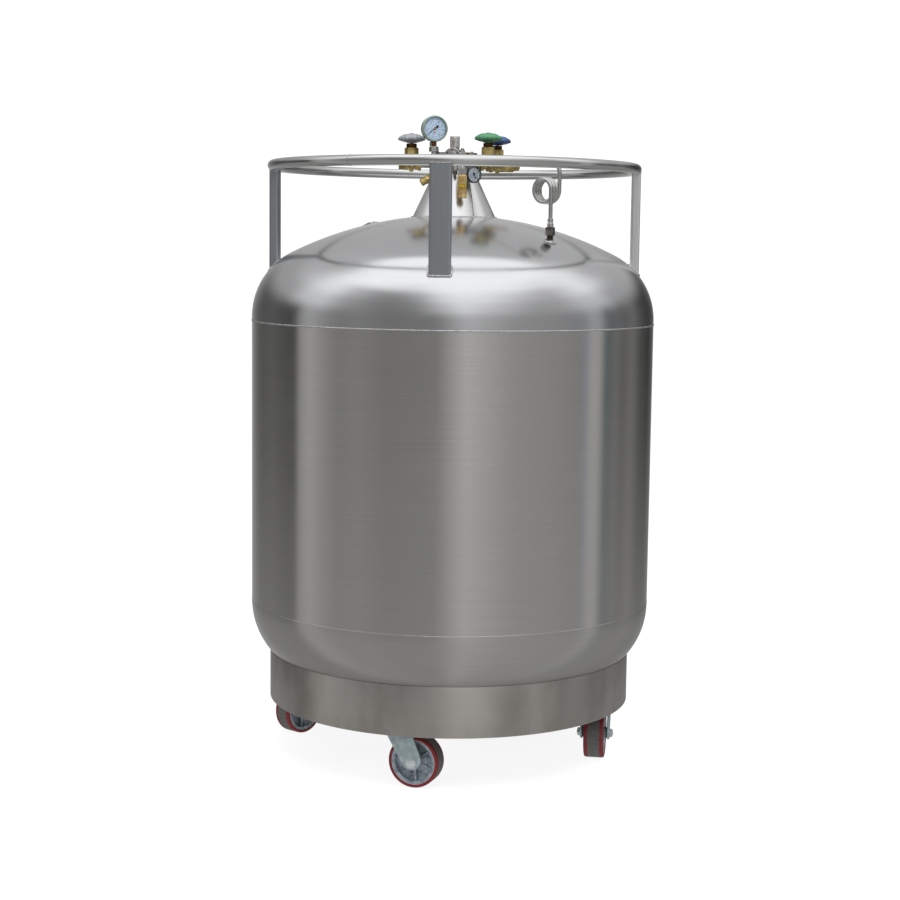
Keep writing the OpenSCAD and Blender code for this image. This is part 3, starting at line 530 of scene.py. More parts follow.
def nut_data(corner, z0, z1, bore=0.0, segments=72):
    """A hexagon nut or head with turned chamfers; flats lie at 0, 60, 120 degrees."""
    flat = corner * math.cos(math.pi / 6)
    slope = math.tan(math.radians(28))

    def ring(reach, height):
        turns = [2 * math.pi * i / segments for i in range(segments)]
        return [(reach(a) * math.cos(a), reach(a) * math.sin(a), height(a)) for a in turns]

    def edge(a):
        return flat / math.cos((a + math.pi / 3) % (math.pi / 3) - math.pi / 6)

    def chamfer(a):
        return (edge(a) - flat * 0.97) * slope

    rows = [ring(lambda a: flat * 0.97, lambda a: z0), ring(edge, lambda a: z0 + chamfer(a))]
    rows += [ring(edge, lambda a: z1 - chamfer(a)), ring(lambda a: flat * 0.97, lambda a: z1)]
    if bore:
        rows += [ring(lambda a: bore, lambda a: z1), ring(lambda a: bore, lambda a: z0)]
    return stacked(rows, loop=bool(bore))


def nut(name, corner, z0, z1, mat, bore=0.0, **more):
    return piece(name, nut_data(corner, z0, z1, bore), mat, sharp=24.0, **more)


def thread_data(radius, z0, z1, pitch, depth, bore=0.0, segments=48):
    """A cylinder with one helical thread, tapered in at both ends."""
    steps = max(8, int((z1 - z0) / pitch * 6))
    rows = []
    for j in range(steps + 1):
        z = z0 + (z1 - z0) * j / steps
        fade = min(1.0, (z - z0) / pitch, (z1 - z) / pitch)
        row = []
        for i in range(segments):
            a = 2 * math.pi * i / segments
            phase = (z / pitch - i / segments) % 1.0
            ridge = 1.0 - abs(phase * 2 - 1)
            r = radius - depth * (1 - ridge * max(fade, 0.0))
            row.append((r * math.cos(a), r * math.sin(a), z))
        rows.append(row)
    if bore:
        turns = [2 * math.pi * i / segments for i in range(segments)]
        rows += [[(bore * math.cos(a), bore * math.sin(a), z) for a in turns] for z in (z1, z0)]
    return stacked(rows, loop=bool(bore))


def sweep_data(path, radius, sides=16, closed=False, ripple=None, flat=1.0, up=None):
    """A tube along a path in millimetres. ripple scales its radius along the path; flat squeezes it across."""
    pts = [Vector(p) for p in path]
    n = len(pts)
    tangents = []
    for i in range(n):
        a = pts[(i - 1) % n] if closed or i else pts[i]
        b = pts[(i + 1) % n] if closed or i < n - 1 else pts[i]
        tangents.append((b - a).normalized())
    side = tangents[0].cross(Vector(up) if up else Vector((0.31, 0.17, 0.94))).normalized()
    rows = []
    for i, (p, t) in enumerate(zip(pts, tangents)):
        if up:
            side = t.cross(Vector(up)).normalized()
        else:
            side = (side - t * side.dot(t)).normalized()
        over = side.cross(t)
        r = radius * (ripple(i) if ripple else 1.0)
        turns = [2 * math.pi * k / sides for k in range(sides)]
        rows.append([tuple(p + side * (r * math.cos(a)) + over * (r * flat * math.sin(a))) for a in turns])
    return stacked(rows, loop=closed)


def flip_x(degrees):
    return Matrix.Rotation(math.radians(degrees), 4, "X")


def join_data(*parts):
    """Several (verts, faces) as one."""
    verts, faces = [], []
    for v, f in parts:
        base = len(verts)
        verts += list(v)
        faces += [[i + base for i in face] for face in f]
    return verts, faces


def moved(data, matrix):
    """The points of (verts, faces) under a matrix whose shifts are in millimetres."""
    verts, faces = data
    return [tuple(matrix @ Vector(v)) for v in verts], faces


def turn_z(degrees):
    return Matrix.Rotation(math.radians(degrees), 4, "Z")


def shift(x, y, z):
    return Matrix.Translation((x, y, z))


def metres(matrix):
    """A placing matrix whose shift is in millimetres, with the shift in metres."""
    out = matrix.copy()
    out.translation = matrix.translation * MM
    return out


def aim(start, direction):
    """Placing matrix: local Z points along direction from start."""
    z = Vector(direction).normalized()
    x = Vector((0, 0, 1)).cross(z) if abs(z.z) < 0.99 else Vector((1, 0, 0))
    x.normalize()
    y = z.cross(x)
    rot = Matrix((x, y, z)).transposed().to_4x4()
    rot.translation = Vector(start)
    return rot


def outward(bearing_deg, z, start):
    """Placing matrix: local Z points outward from the vessel's axis; bearing is counted from +X."""
    a = math.radians(bearing_deg)
    return aim((start * math.cos(a), start * math.sin(a), z), (math.cos(a), math.sin(a), 0.0))


def remeshed(data, voxel, smooth=2):
    """One cast skin over overlapping solids, in millimetres in and out."""
    obj = mesh_object("scratch", *data)
    bm = bmesh.new()
    bm.from_mesh(obj.data)
    bmesh.ops.recalc_face_normals(bm, faces=bm.faces)
    bm.to_mesh(obj.data)
    bm.free()
    mod = obj.modifiers.new("skin", "REMESH")
    mod.mode = "VOXEL"
    mod.voxel_size = voxel * MM
    soft = obj.modifiers.new("soft", "SMOOTH")
    soft.factor = 0.5
    soft.iterations = smooth
    dg = bpy.context.evaluated_depsgraph_get()
    done = obj.evaluated_get(dg).to_mesh()
    verts = [tuple(c / MM for c in v.co) for v in done.vertices]
    faces = [list(p.vertices) for p in done.polygons]
    mesh = obj.data
    bpy.data.objects.remove(obj)
    bpy.data.meshes.remove(mesh)
    return verts, faces


def bead(
    name, path, radius, closed=True, pitch=2.6, flat=0.7, rough=0.12, seed=1, slot="head_steel", mat="weld",
    place=None,
):
    """A rippled weld bead along a path in millimetres; the path is resampled to about pitch / 4."""
    pts = [Vector(p) for p in path]
    if closed:
        pts.append(pts[0])
    length = sum((b - a).length for a, b in zip(pts, pts[1:]))
    count = max(12, int(length / (pitch / 4)))
    out, seg, gone = [], 0, 0.0
    for k in range(count if closed else count + 1):
        want = length * k / count
        while seg < len(pts) - 2 and gone + (pts[seg + 1] - pts[seg]).length < want:
            gone += (pts[seg + 1] - pts[seg]).length
            seg += 1
        d = (pts[seg + 1] - pts[seg]).length
        out.append(pts[seg].lerp(pts[seg + 1], min(1.0, (want - gone) / d if d else 0.0)))

    def ripple(i):
        s = length * i / count
        lump = noise.noise(Vector((s * 0.07, seed * 3.1, 0.0)))
        return 1.0 + rough * (abs((s / pitch) % 1.0 - 0.5) * 2 - 0.5) + 0.18 * lump

    data = sweep_data(out, radius, 8, closed, ripple, flat)
    return piece(name, data, mat, slot=slot, place=place, sharp=80.0)


def circle_path(r, z, count=360):
    turns = [2 * math.pi * i / count for i in range(count)]
    return [(r * math.cos(a), r * math.sin(a), z) for a in turns]


# ---------------------------------------------------------------- vessel


def dished_profile(r, straight, knuckle, crown, inner):
    """Outer line of a dished end from its open edge to radius `inner`, as (radius, height over the seam)."""
    knuckle_steps, crown_steps = 30, 50
    apex = straight + drop(r, knuckle, crown)
    lean = math.asin((r - knuckle) / (crown - knuckle))
    out = [(r, 0.0)]
    for k in range(knuckle_steps + 1):
        a = (math.pi / 2 - lean) * k / knuckle_steps
        out.append((r - knuckle + knuckle * math.cos(a), straight + knuckle * math.sin(a)))
    stop = math.asin(inner / crown)
    for k in range(1, crown_steps + 1):
        b = lean + (stop - lean) * k / crown_steps
        out.append((crown * math.sin(b), apex - crown + crown * math.cos(b)))
    return out


def vessel():
    out = dished_profile(SHELL_R, FLANGE_UP, KNUCKLE_R, CROWN_R, NECK_HOLE_R)
    inn = dished_profile(SHELL_R - HEAD_T, FLANGE_UP, KNUCKLE_R - HEAD_T, CROWN_R - HEAD_T, NECK_HOLE_R)
    wall = [(r, SEAM_UP + z) for r, z in out] + [(r, SEAM_UP + z) for r, z in reversed(inn)]
    lathe("dome_top", wall, "head", segments=384, cad="top_head", sharp=40)
    out = dished_profile(SHELL_R, FLANGE_LOW, LOW_KNUCKLE_R, LOW_CROWN_R, 0.0)
    inn = dished_profile(SHELL_R - HEAD_T, FLANGE_LOW, LOW_KNUCKLE_R - HEAD_T, LOW_CROWN_R - HEAD_T, 0.0)
    wall = [(r, SEAM_LOW - z) for r, z in inn[::-1]] + [(r, SEAM_LOW - z) for r, z in out]
    wall = [(0.0 if r < 1e-6 else r, z) for r, z in wall]
    lathe("dome_bottom", wall, "low_head", segments=320, cad="bottom_head", sharp=40)
    wall = [
        (SHELL_R, SEAM_LOW + 0.2), (SHELL_R, SEAM_UP - 0.2), (SHELL_R - 3, SEAM_UP - 0.2),
        (SHELL_R - 3, SEAM_LOW + 0.2),
    ]
    lathe("shell_wall", wall, "shell", segments=384, cad="outer_shell")
    bead("shell_weld_upper", circle_path(SHELL_R - 1.2, SEAM_UP), 2.4, flat=0.9, slot="shell_steel", seed=2)
    bead(
        "shell_weld_lower", circle_path(SHELL_R - 1.3, SEAM_LOW), 1.8, flat=0.9, slot="shell_steel", seed=5,
        mat="shell",
    )
    a = math.radians(62)
    line = [
        ((SHELL_R - 1.2) * math.cos(a), (SHELL_R - 1.2) * math.sin(a), SEAM_LOW + 3 + k * 6.9)
        for k in range(101)
    ]
    bead("shell_weld_upright", line, 2.4, closed=False, flat=0.6, slot="shell_steel", seed=9)
    top = SEAM_LOW - FLANGE_LOW
    edge = SHELL_R - LOW_KNUCKLE_R
    rise = top - math.sqrt(LOW_KNUCKLE_R**2 - (SKIRT_R - edge) ** 2)
    rise_in = top - math.sqrt(LOW_KNUCKLE_R**2 - (SKIRT_R - SKIRT_T - edge) ** 2)
    wall = [
        (SKIRT_R, SKIRT_BOTTOM), (SKIRT_R, rise - 0.6), (SKIRT_R - SKIRT_T, rise_in - 0.6),
        (SKIRT_R - SKIRT_T, SKIRT_BOTTOM),
    ]
    lathe("skirt_ring", wall, "skirt", segments=320, soft=0.8, loop=True, cad="skirt", sharp=60)
    width = 6.5 / SKIRT_R
    for name, turn in (("skirt_seam_front", -33.0), ("skirt_seam_back", 147.0)):
        steps, across, rows = 24, 8, []
        for i in range(steps + 1):
            z = SKIRT_BOTTOM + 0.4 + (rise - SKIRT_BOTTOM - 2.4) * i / steps
            sway = 0.9 * math.sin(i * 0.9) + 0.5 * math.sin(i * 2.3)
            outer, inner = [], []
            for j in range(across + 1):
                u = j / across * 2 - 1
                a = math.radians(turn - 90) + u * width * (1 + 0.04 * math.sin(i * 1.7)) + sway / SKIRT_R
                for side, r in ((outer, SKIRT_R + 0.45 * (1 - u * u)), (inner, SKIRT_R - 0.6)):
                    side.append((r * math.cos(a), r * math.sin(a), z))
            rows.append(outer + inner[::-1])
        piece(name, stacked(rows), "ground_weld")


def neck():
    z_meet = dome_z(CONE_BASE_R)
    slope = (CONE_BASE_R - COLLAR_R) / (COLLAR_Z - z_meet)
    foot = CONE_BASE_R + 4 * slope
    line = [(foot, z_meet - 4), (COLLAR_R, COLLAR_Z), (COLLAR_R, COLLAR_TOP), (COLLAR_R - CONE_T, COLLAR_TOP)]
    line += [(COLLAR_R - CONE_T, COLLAR_Z - 1), (foot - CONE_T, z_meet - 4)]
    lathe("neck_funnel", line, "cone", segments=192, cad="neck_cone", sharp=20)
    bead("neck_weld_foot", circle_path(CONE_BASE_R + 1.5, z_meet - 0.6), 3.4, flat=0.8, seed=12)
    bead("neck_weld_collar", circle_path(COLLAR_R + 0.4, COLLAR_Z), 1.7, flat=0.8, seed=13, pitch=2.0)
    seam = []
    for k in range(60):
        t = k / 59
        z = z_meet + 3 + (COLLAR_Z - 6 - z_meet) * t
        r = CONE_BASE_R - (z - z_meet) * slope - 0.5
        a = math.radians(28 + 11 * t - 90)
        seam.append((r * math.cos(a), r * math.sin(a), z))
    bead("neck_weld_seam", seam, 1.5, closed=False, flat=0.5, seed=15, pitch=2.2, mat="dark_nut")
    top = COLLAR_TOP + PLATE_T
    line = [(7.0, COLLAR_TOP), (PLATE_R, COLLAR_TOP), (PLATE_R, top), (7.0, top)]
    lathe("neck_lid", line, "turned", segments=128, soft=0.9, loop=True, slot="head_steel", cad="neck_plate")
    parts = []
    for k in range(8):
        a = 2 * math.pi * (k + 0.5) / 8
        head = round_data(
            [(0, top), (3.4, top), (3.4, top + 3), (1.9, top + 3), (1.9, top + 1.4), (0, top + 1.4)], 0.3,
        )
        parts.append(moved(head, shift(46 * math.cos(a), 46 * math.sin(a), 0)))
    piece("neck_lid_screws", join_data(*parts), "turned")


def post_data(outline):
    """A post from the dome up into the handrail, over an outline round the rail's radius on +X."""
    levels = 12
    verts, faces = [], []
    for u, v in outline:
        x = RAIL_R + u
        across = RAIL_TUBE_R**2 - (math.hypot(x, v) - RAIL_R) ** 2
        top = RAIL_Z - math.sqrt(max(across, 1.0)) + 0.4
        low = dome_z(math.hypot(x, v)) - 1.0
        for j in range(levels + 1):
            verts.append((x, v, low + (top - low) * j / levels))
    count = len(outline)
    rows = [(i * (levels + 1), (i + 1) % count * (levels + 1)) for i in range(count)]
    for a, b in rows:
        faces += [[a + j, b + j, b + j + 1, a + j + 1] for j in range(levels)]
    for j, z in ((0, dome_z(RAIL_R) - 2), (levels, RAIL_Z - 6)):
        verts.append((RAIL_R, 0.0, z))
        faces += [[a + j, b + j, len(verts) - 1] for a, b in rows]
    return verts, faces


def rail():
    tube = [
        (RAIL_R + RAIL_TUBE_R * math.cos(2 * math.pi * k / 40), RAIL_TUBE_R * math.sin(2 * math.pi * k / 40))
        for k in range(40)
    ]
    lathe("rail_ring", tube, "rail", segments=360, cad="handrail", sharp=80, place=shift(0, 0, RAIL_Z))
    for k, bearing in enumerate((38.0, 218.0)):
        a = math.radians(bearing + 20)
        centre = Vector((RAIL_R * math.cos(a), RAIL_R * math.sin(a), RAIL_Z))
        side, up = Vector((math.cos(a), math.sin(a), 0)), Vector((0, 0, 1))
        loop = [
            centre + (RAIL_TUBE_R + 0.1) * (side * math.cos(t) + up * math.sin(t))
            for t in (2 * math.pi * i / 48 for i in range(48))
        ]
        bead(f"rail_butt_weld_{k}", loop, 0.9, seed=20 + k, slot="rail_steel", pitch=1.8)
    outline = plate_outline(POST_D, POST_W, POST_CORNER, 4)
    fine = []
    for (x0, y0), (x1, y1) in zip(outline, outline[1:] + outline[:1]):
        parts = max(1, int(math.hypot(x1 - x0, y1 - y0) / 3))
        fine += [(x0 + (x1 - x0) * k / parts, y0 + (y1 - y0) * k / parts) for k in range(parts)]
    skin = post_data(fine)
    for k in range(4):
        place = turn_z(90 * k + POST_TURN - 90)
        # The post at +X gets the painted-light copy, the other three the painted-shade copy.
        mat = "post_bright" if k == 1 else "post"
        piece(f"rail_post_{k}", skin, mat, cad="posts", place=place, sharp=45)
        foot, head = [], []
        for u, v in fine:
            s = 1 + 1.2 / math.hypot(u, v)
            x, y = RAIL_R + u * s, v * s
            foot.append((x, y, dome_z(math.hypot(x, y)) + 0.8))
            across = RAIL_TUBE_R**2 - (math.hypot(RAIL_R + u * 0.99, v) - RAIL_R) ** 2
            head.append((RAIL_R + u * 1.01, v * 1.01, RAIL_Z - math.sqrt(max(across, 0.4))))
        bead(
            f"post_foot_weld_{k}", foot, 3.0, flat=0.95, seed=30 + k, slot="post_steel", pitch=3.0, rough=0.2,
            place=place,
        )
        bead(f"post_head_weld_{k}", head, 1.5, flat=0.9, seed=40 + k, slot="post_steel", pitch=2.4, place=place)


def pump_out():
    r = math.hypot(*PUMP_PLACE)
    z = dome_z(r)
    lean = Vector((PUMP_PLACE[0], PUMP_PLACE[1], math.sqrt(CROWN_R**2 - r * r)))
    place = aim((PUMP_PLACE[0], PUMP_PLACE[1], z), lean)
    line = [(0, -1), (16, -1), (16, 5), (21, 5), (21, 8), (12, 8), (12, 11), (0, 11)]
    lathe(
        "pump_out_cap", line, "turned", segments=72, soft=0.8, slot="head_steel", cad="pump_out_port", place=place,
    )
    bead("pump_out_weld", circle_path(17, 0.6, 96), 2.0, seed=50, place=place, pitch=2.2)


# ---------------------------------------------------------------- valves


def valve_frame(name):
    x, y = VALVES[name]
    return shift(x, y, 0) @ turn_z(math.degrees(math.atan2(y, x)))


def along_x(x0, z):
    """Local Z runs along +X from x0 at height z."""
    return shift(x0, 0, z) @ Matrix.Rotation(math.pi / 2, 4, "Y")


def valve_skin():
    """The cast body shared by the three valves, in the valve's own frame, with Z measured from the pipe axis."""
    r = BARREL_R
    barrel = round_data(
        [(0, 0), (r, 0), (r, 12), (r - 1.7, 14), (r - 1.7, 18), (r, 20), (r, 40), (r - 1, 42), (0, 42)], 1.0, 40,
    )
    hub = round_data([(0, -10), (11.5, -10), (14.5, -5), (14.5, 15), (13.5, 19), (0, 19)], 1.6, 40)
    boss = round_data([(0, -17.5), (5, -17.5), (5, -7), (0, -7)], 0.8)
    lug = round_data([(0, 0), (6.5, 0), (6.5, 31), (0, 31)], 1.5)
    parts = [moved(barrel, along_x(-BARREL_IN, 0)), hub, boss]
    parts.append(moved(lug, shift(-2, 15.5, -3) @ flip_x(90)))
    return remeshed(join_data(*parts), 0.75, 3)


def handwheel_data():
    """A lens-shaped wheel with a scalloped rim and finger ridges; Z is measured from the hub's underside."""
    mid, top = WHEEL_MID - HUB_BOTTOM, WHEEL_TOP - HUB_BOTTOM
    line = [(4.0, 0.0), (12.5, 0.0), (14.0, 1.2), (20.0, 2.4), (26.0, 4.0), (30.0, 6.0), (33.0, mid - 3.6)]
    line += [
        (34.4, mid - 0.6), (33.4, mid + 3.0), (30.5, mid + 5.8), (26.0, mid + 7.8), (20.0, top - 3.6),
        (14.0, top - 2.2),
    ]
    line += [(9.0, top - 2.6), (7.5, top - 4.4), (4.0, top - 4.6)]
    line = soften(line, 2.0, 3, loop=True)
    lobes = 16

    def wave(k, a, r, z):
        share = max(0.0, (r - 16.0) / (HANDWHEEL_R - 16.0))
        dip = 0.5 - 0.5 * math.cos(lobes * a)
        crest = (1 - dip) ** 1.5
        rr = r - 1.7 * share**1.6 * dip**1.3
        zz = z + (1.3 if z > mid else -1.0) * share * (crest - 0.45) * (1.25 - share)
        return rr, zz

    return lathe_data(line, 160, wave=wave)


def valves():
    skin, wheel = valve_skin(), handwheel_data()
    outlet = moved(thread_data(OUTLET_R, 0, OUTLET_LEN, 1.8, 0.9, bore=4.0), along_x(BARREL_OUT, 0))
    inlet = moved(nut_data(BARREL_R + 1.5, 0, 9), along_x(-BARREL_IN, 0))
    nipple = thread_data(NIPPLE_R, COUPLING_LEN - 1, COUPLING_LEN + NIPPLE_LEN, 1.8, 0.9, bore=4.0)
    r, far = COUPLING_R, COUPLING_LEN
    sleeve = [(4, -1), (r - 1, -1), (r, 1), (r, far - 1), (r - 1, far), (4, far)]
    collar = [(4.05, 0), (15.4, 0), (15.4, 1.6), (14.4, 2.4), (4.05, 2.4)]
    low, high, tip = 1487.0 - VALVE_Z, STEM_TOP - VALVE_Z, STEM_TOP + 2.5 - VALVE_Z
    stem = join_data(round_data([(0, low), (4, low), (4, high), (0, high)], 0.4, 32), nut_data(6.0, high, tip))
    for name in VALVES:
        base = valve_frame(name)
        here = base @ shift(0, 0, VALVE_Z)
        body = {"cad": "valve_bodies", "place": here}
        piece(f"valve_body_{name}", skin, "brass", sharp=60, **body)
        piece(f"valve_inlet_hex_{name}", inlet, "brass", sharp=24, **body)
        if name == "liquid":
            body["place"] = here @ along_x(BARREL_OUT, 0)
            lathe("valve_coupling", sleeve, "brass", soft=0.5, loop=True, **body)
            piece("valve_nipple", nipple, "brass", sharp=35, **body)
        else:
            piece(f"valve_outlet_{name}", outlet, "brass", sharp=35, **body)
        foot = base @ shift(0, 0, BONNET_Z)
        height = BONNET_TOP - BONNET_Z
        nut(f"valve_bonnet_{name}", 17.6, 0, height, "brass", bore=4.05, cad="valve_bonnets", place=foot)
        spot = base @ shift(0, 0, BONNET_Z - 1.2)
        lathe(f"valve_bonnet_collar_{name}", collar, "brass", soft=0.5, loop=True, place=spot)
        spot, height = base @ shift(0, 0, BONNET_TOP), NUT_TOP - BONNET_TOP
        nut(f"packing_nut_{name}", 13.2, 0, height, "dark_brass", bore=4.05, cad="packing_nuts", place=spot)
        piece(
            f"valve_stem_{name}", stem, "turned", cad=f"stem_{name}", place=here, sharp=24, body=f"spindle_{name}",
        )
        spot = base @ shift(0, 0, HUB_BOTTOM)
        wheel_cad = f"handwheel_{name}"
        piece(
            f"valve_wheel_{name}", wheel, f"wheel_{name}", body=f"spindle_{name}", cad=wheel_cad, place=spot,
            sharp=60,
        )


# ---------------------------------------------------------------- neck fittings


def pipe(name, r, bearing_deg, z, start, end, **more):
    line = soften([(0, 0), (r, 0), (r, end - start), (0, end - start)], 0.6)
    return lathe(name, line, "turned", place=outward(bearing_deg, z, start), **more)


def neck_pipes():
    for name, (x, y) in VALVES.items():
        bearing = math.degrees(math.atan2(y, x))
        reach = math.hypot(x, y) - BARREL_IN
        pipe(f"pipe_{name}", 8, bearing, VALVE_Z, COLLAR_R - 3, reach + 2, cad="manifold_pipes")
        bead(
            f"pipe_weld_{name}", circle_path(8.6, 0, 60), 1.7, seed=60, pitch=2.0, slot="fitting_steel",
            place=outward(bearing, VALVE_Z, COLLAR_R + 0.2),
        )
    x, y = RELIEF_POS
    parts = [
        moved(
            round_data([(0, 0), (RELIEF_PIPE_R, 0), (RELIEF_PIPE_R, -y - 26), (0, -y - 26)], 1.0, 40),
            aim((x, -30, RELIEF_PIPE_Z), (0, -1, 0)),
        ),
        moved(round_data([(0, 0), (8.8, 0), (8.8, 20), (0, 20)], 2.0, 40), shift(x, y, RELIEF_TOP)),
    ]
    piece("relief_elbow", remeshed(join_data(*parts), 0.8, 3), "turned", cad="manifold_pipes", sharp=60)
    nut(
        "relief_hex", 11.8, 0, 16, "turned", bore=8.0, cad="manifold_pipes",
        place=shift(x, y, RELIEF_TOP) @ turn_z(30),
    )
    pipe("pipe_level", 6, LEVEL_BEARING - 90, LEVEL_Z, COLLAR_R, LEVEL_BACK + 1, cad="manifold_pipes")
    pipe("pipe_regulator", 6.5, REG_BEARING - 90, REG_PIPE_Z, COLLAR_R - 2, REG_BACK + 1, cad="manifold_pipes")
    base = COLLAR_TOP + PLATE_T
    place = shift(0, 0, base)
    nut("fill_hex", 16, 0, 8, "turned", bore=7.0, cad="fill_port", place=place)
    lathe(
        "fill_neck", [(7, 7), (11.5, 7), (11.5, 15), (7, 15)], "turned", loop=True, soft=0.4, cad="fill_port",
        place=place,
    )
    piece(
        "fill_thread", thread_data(13.3, 14, 41, 3.2, 1.5, bore=7.0, segments=64), "turned", cad="fill_port",
        place=place, sharp=30,
    )
    place = shift(19, 0, base)
    nut("side_plug_hex", 6.5, 0, 7, "turned", cad="fill_port", place=place)
    lathe("side_plug_top", [(0, 6), (4.5, 6), (4.5, 12), (0, 12)], "turned", soft=0.8, cad="fill_port", place=place)


def relief():
    x, y = RELIEF_POS
    low, high = RELIEF_BOTTOM, RELIEF_TOP
    place = shift(x, y, RELIEF_BOTTOM)
    cap = [
        (3.5, 0), (RELIEF_R - 1.2, 0), (RELIEF_R - 0.2, 2.0), (RELIEF_R - 0.2, 24.5), (7.0, 24.5), (7.0, 5),
        (3.5, 5),
    ]

    def ribs(k, a, r, z):
        return (r - 0.35 * (0.5 - 0.5 * math.cos(36 * a)) if r > RELIEF_R - 0.6 and 3 < z < 24 else r), z

    body = {"cad": "relief_body", "place": place}
    lathe("relief_cap", soften(cap, 0.8, 3, loop=True), "relief_copper", segments=180, wave=ribs, sharp=50, **body)
    band = [(7.0, 25.5), (RELIEF_R - 0.4, 25.5), (RELIEF_R - 0.4, 33.0), (7.0, 33.0)]
    lathe("relief_ring", band, "yellow_band", loop=True, soft=0.4, **body)
    upper = [(7.0, 34.0), (RELIEF_R, 34.0), (RELIEF_R, 54.0), (RELIEF_R - 1.4, high - low), (7.0, high - low)]
    lathe("relief_barrel", upper, "relief_brass", loop=True, soft=0.6, **body)
    core = [(7.0, 5.0), (RELIEF_R - 1.4, 5.0), (RELIEF_R - 1.4, 36.0), (7.0, 36.0)]
    lathe("relief_core", core, "dark_brass", loop=True, slot="relief_brass", **body)
    # Twelve black dots on the yellow band stand for the vent holes: painted shade where the holes are.
    spot = aim((RELIEF_R - 1.15, 0, 29.4), (1, 0, 0))
    vent = moved(round_data([(0, 0), (1.3, 0), (1.3, 1.0), (0, 1.0)], 0.2, 16), spot)
    vent_shade_dots = join_data(*[moved(vent, turn_z(30 * k)) for k in range(12)])
    piece("relief_vent_shade_dots", vent_shade_dots, "black", slot="relief_brass", place=place)


def strip_data(corners, height):
    """A low printed shape over four corners."""
    return stacked([[(x, y, z) for x, y in corners] for z in (0.0, height)])


def dial_marks(name, radius, start, sweep, count, major, place, numbers, size):
    """Printed marks on a dial, as thin raised ink: ticks, an arc and numerals."""
    parts = []
    for i in range(count + 1):
        a = math.radians(start - sweep * i / count)
        big = i % major == 0
        r0, r1, w = radius * (0.80 if big else 0.865), radius * 0.93, 0.32 if big else 0.15
        c, s = math.cos(a), math.sin(a)
        tick = [(u * c - v * s, u * s + v * c) for u, v in ((r0, -w), (r1, -w), (r1, w), (r0, w))]
        parts.append(strip_data(tick, 0.12))
    piece(f"{name}_ticks", join_data(*parts), "ink", place=place)
    turns = [math.radians(start - sweep * k / 60) for k in range(61)]
    arc = [(radius * 0.935 * math.cos(t), radius * 0.935 * math.sin(t), 0.06) for t in turns]
    piece(f"{name}_arc", sweep_data(arc, 0.16, 6, up=(0, 0, 1)), "ink", place=place)
    for i, word in enumerate(numbers):
        a = math.radians(start - sweep * i / (len(numbers) - 1))
        curve = bpy.data.curves.new(f"{name}_n{i}", "FONT")
        curve.body = word
        curve.size = size * MM
        curve.align_x = curve.align_y = "CENTER"
        curve.extrude = 0.05 * MM
        obj = bpy.data.objects.new(f"{name}_n{i}", curve)
        bpy.context.scene.collection.objects.link(obj)
        made = bpy.data.meshes.new_from_object(obj.evaluated_get(bpy.context.evaluated_depsgraph_get()))
        bpy.data.objects.remove(obj)
        digit = bpy.data.objects.new(f"{name}_number_{i}", made)
        bpy.context.scene.collection.objects.link(digit)
        spot = place @ shift(radius * 0.67 * math.cos(a), radius * 0.67 * math.sin(a), 0.08)
        finish_piece(digit, "ink", place=spot)


def pointer_data(length, tail, pin, bob=2.4):
    """A pointer along local X: tapered blade with a ridge, hub, round tail weight and pin."""
    blade = [
        (-tail, -1.5, 0.3), (-tail, 1.5, 0.3), (0, 1.3, 0.3), (length, 0.25, 0.3), (length, -0.25, 0.3),
        (0, -1.3, 0.3),
    ]
    top = [
        (-tail, -1.5, 0.7), (-tail, 1.5, 0.7), (0, 1.3, 0.9), (length, 0.25, 0.7), (length, -0.25, 0.7),
        (0, -1.3, 0.9),
    ]
    sides = [[i, (i + 1) % 6, 6 + (i + 1) % 6, 6 + i] for i in range(6)]
    hub = round_data([(0, 0), (3, 0), (3, 1.0), (1.6, 1.6), (0, 1.6)], 0.3, 32)
    weight = moved(round_data([(0, 0.2), (bob, 0.2), (bob, 0.8), (0, 0.8)], 0.2), shift(-tail * 0.8, 0, 0))
    shaft = lathe_data([(0, -pin), (1.0, -pin), (1.0, 0.5), (0, 0.5)], 16)
    return join_data((blade + top, [[5, 4, 3, 2, 1, 0], [6, 7, 8, 9, 10, 11]] + sides), hub, weight, shaft)


def instrument(name, spin, top, dial_r, card_depth, card_mat):
    """Card and glass of one dial, whose case's face is at height top along spin."""
    card = [(1.05, 0), (dial_r - 0.2, 0), (dial_r - 0.2, 1), (1.05, 1)]
    lathe(f"{name}_card", card, card_mat, loop=True, cad="gauge_dials", place=spin @ shift(0, 0, top - card_depth))
    lens = [(0, 0), (dial_r, 0), (dial_r, 1.2), (dial_r - 2, 1.5), (0, 1.5)]
    lathe(f"{name}_lens", lens, "lens", cad="gauge_lenses", place=spin @ shift(0, 0, top - 2))


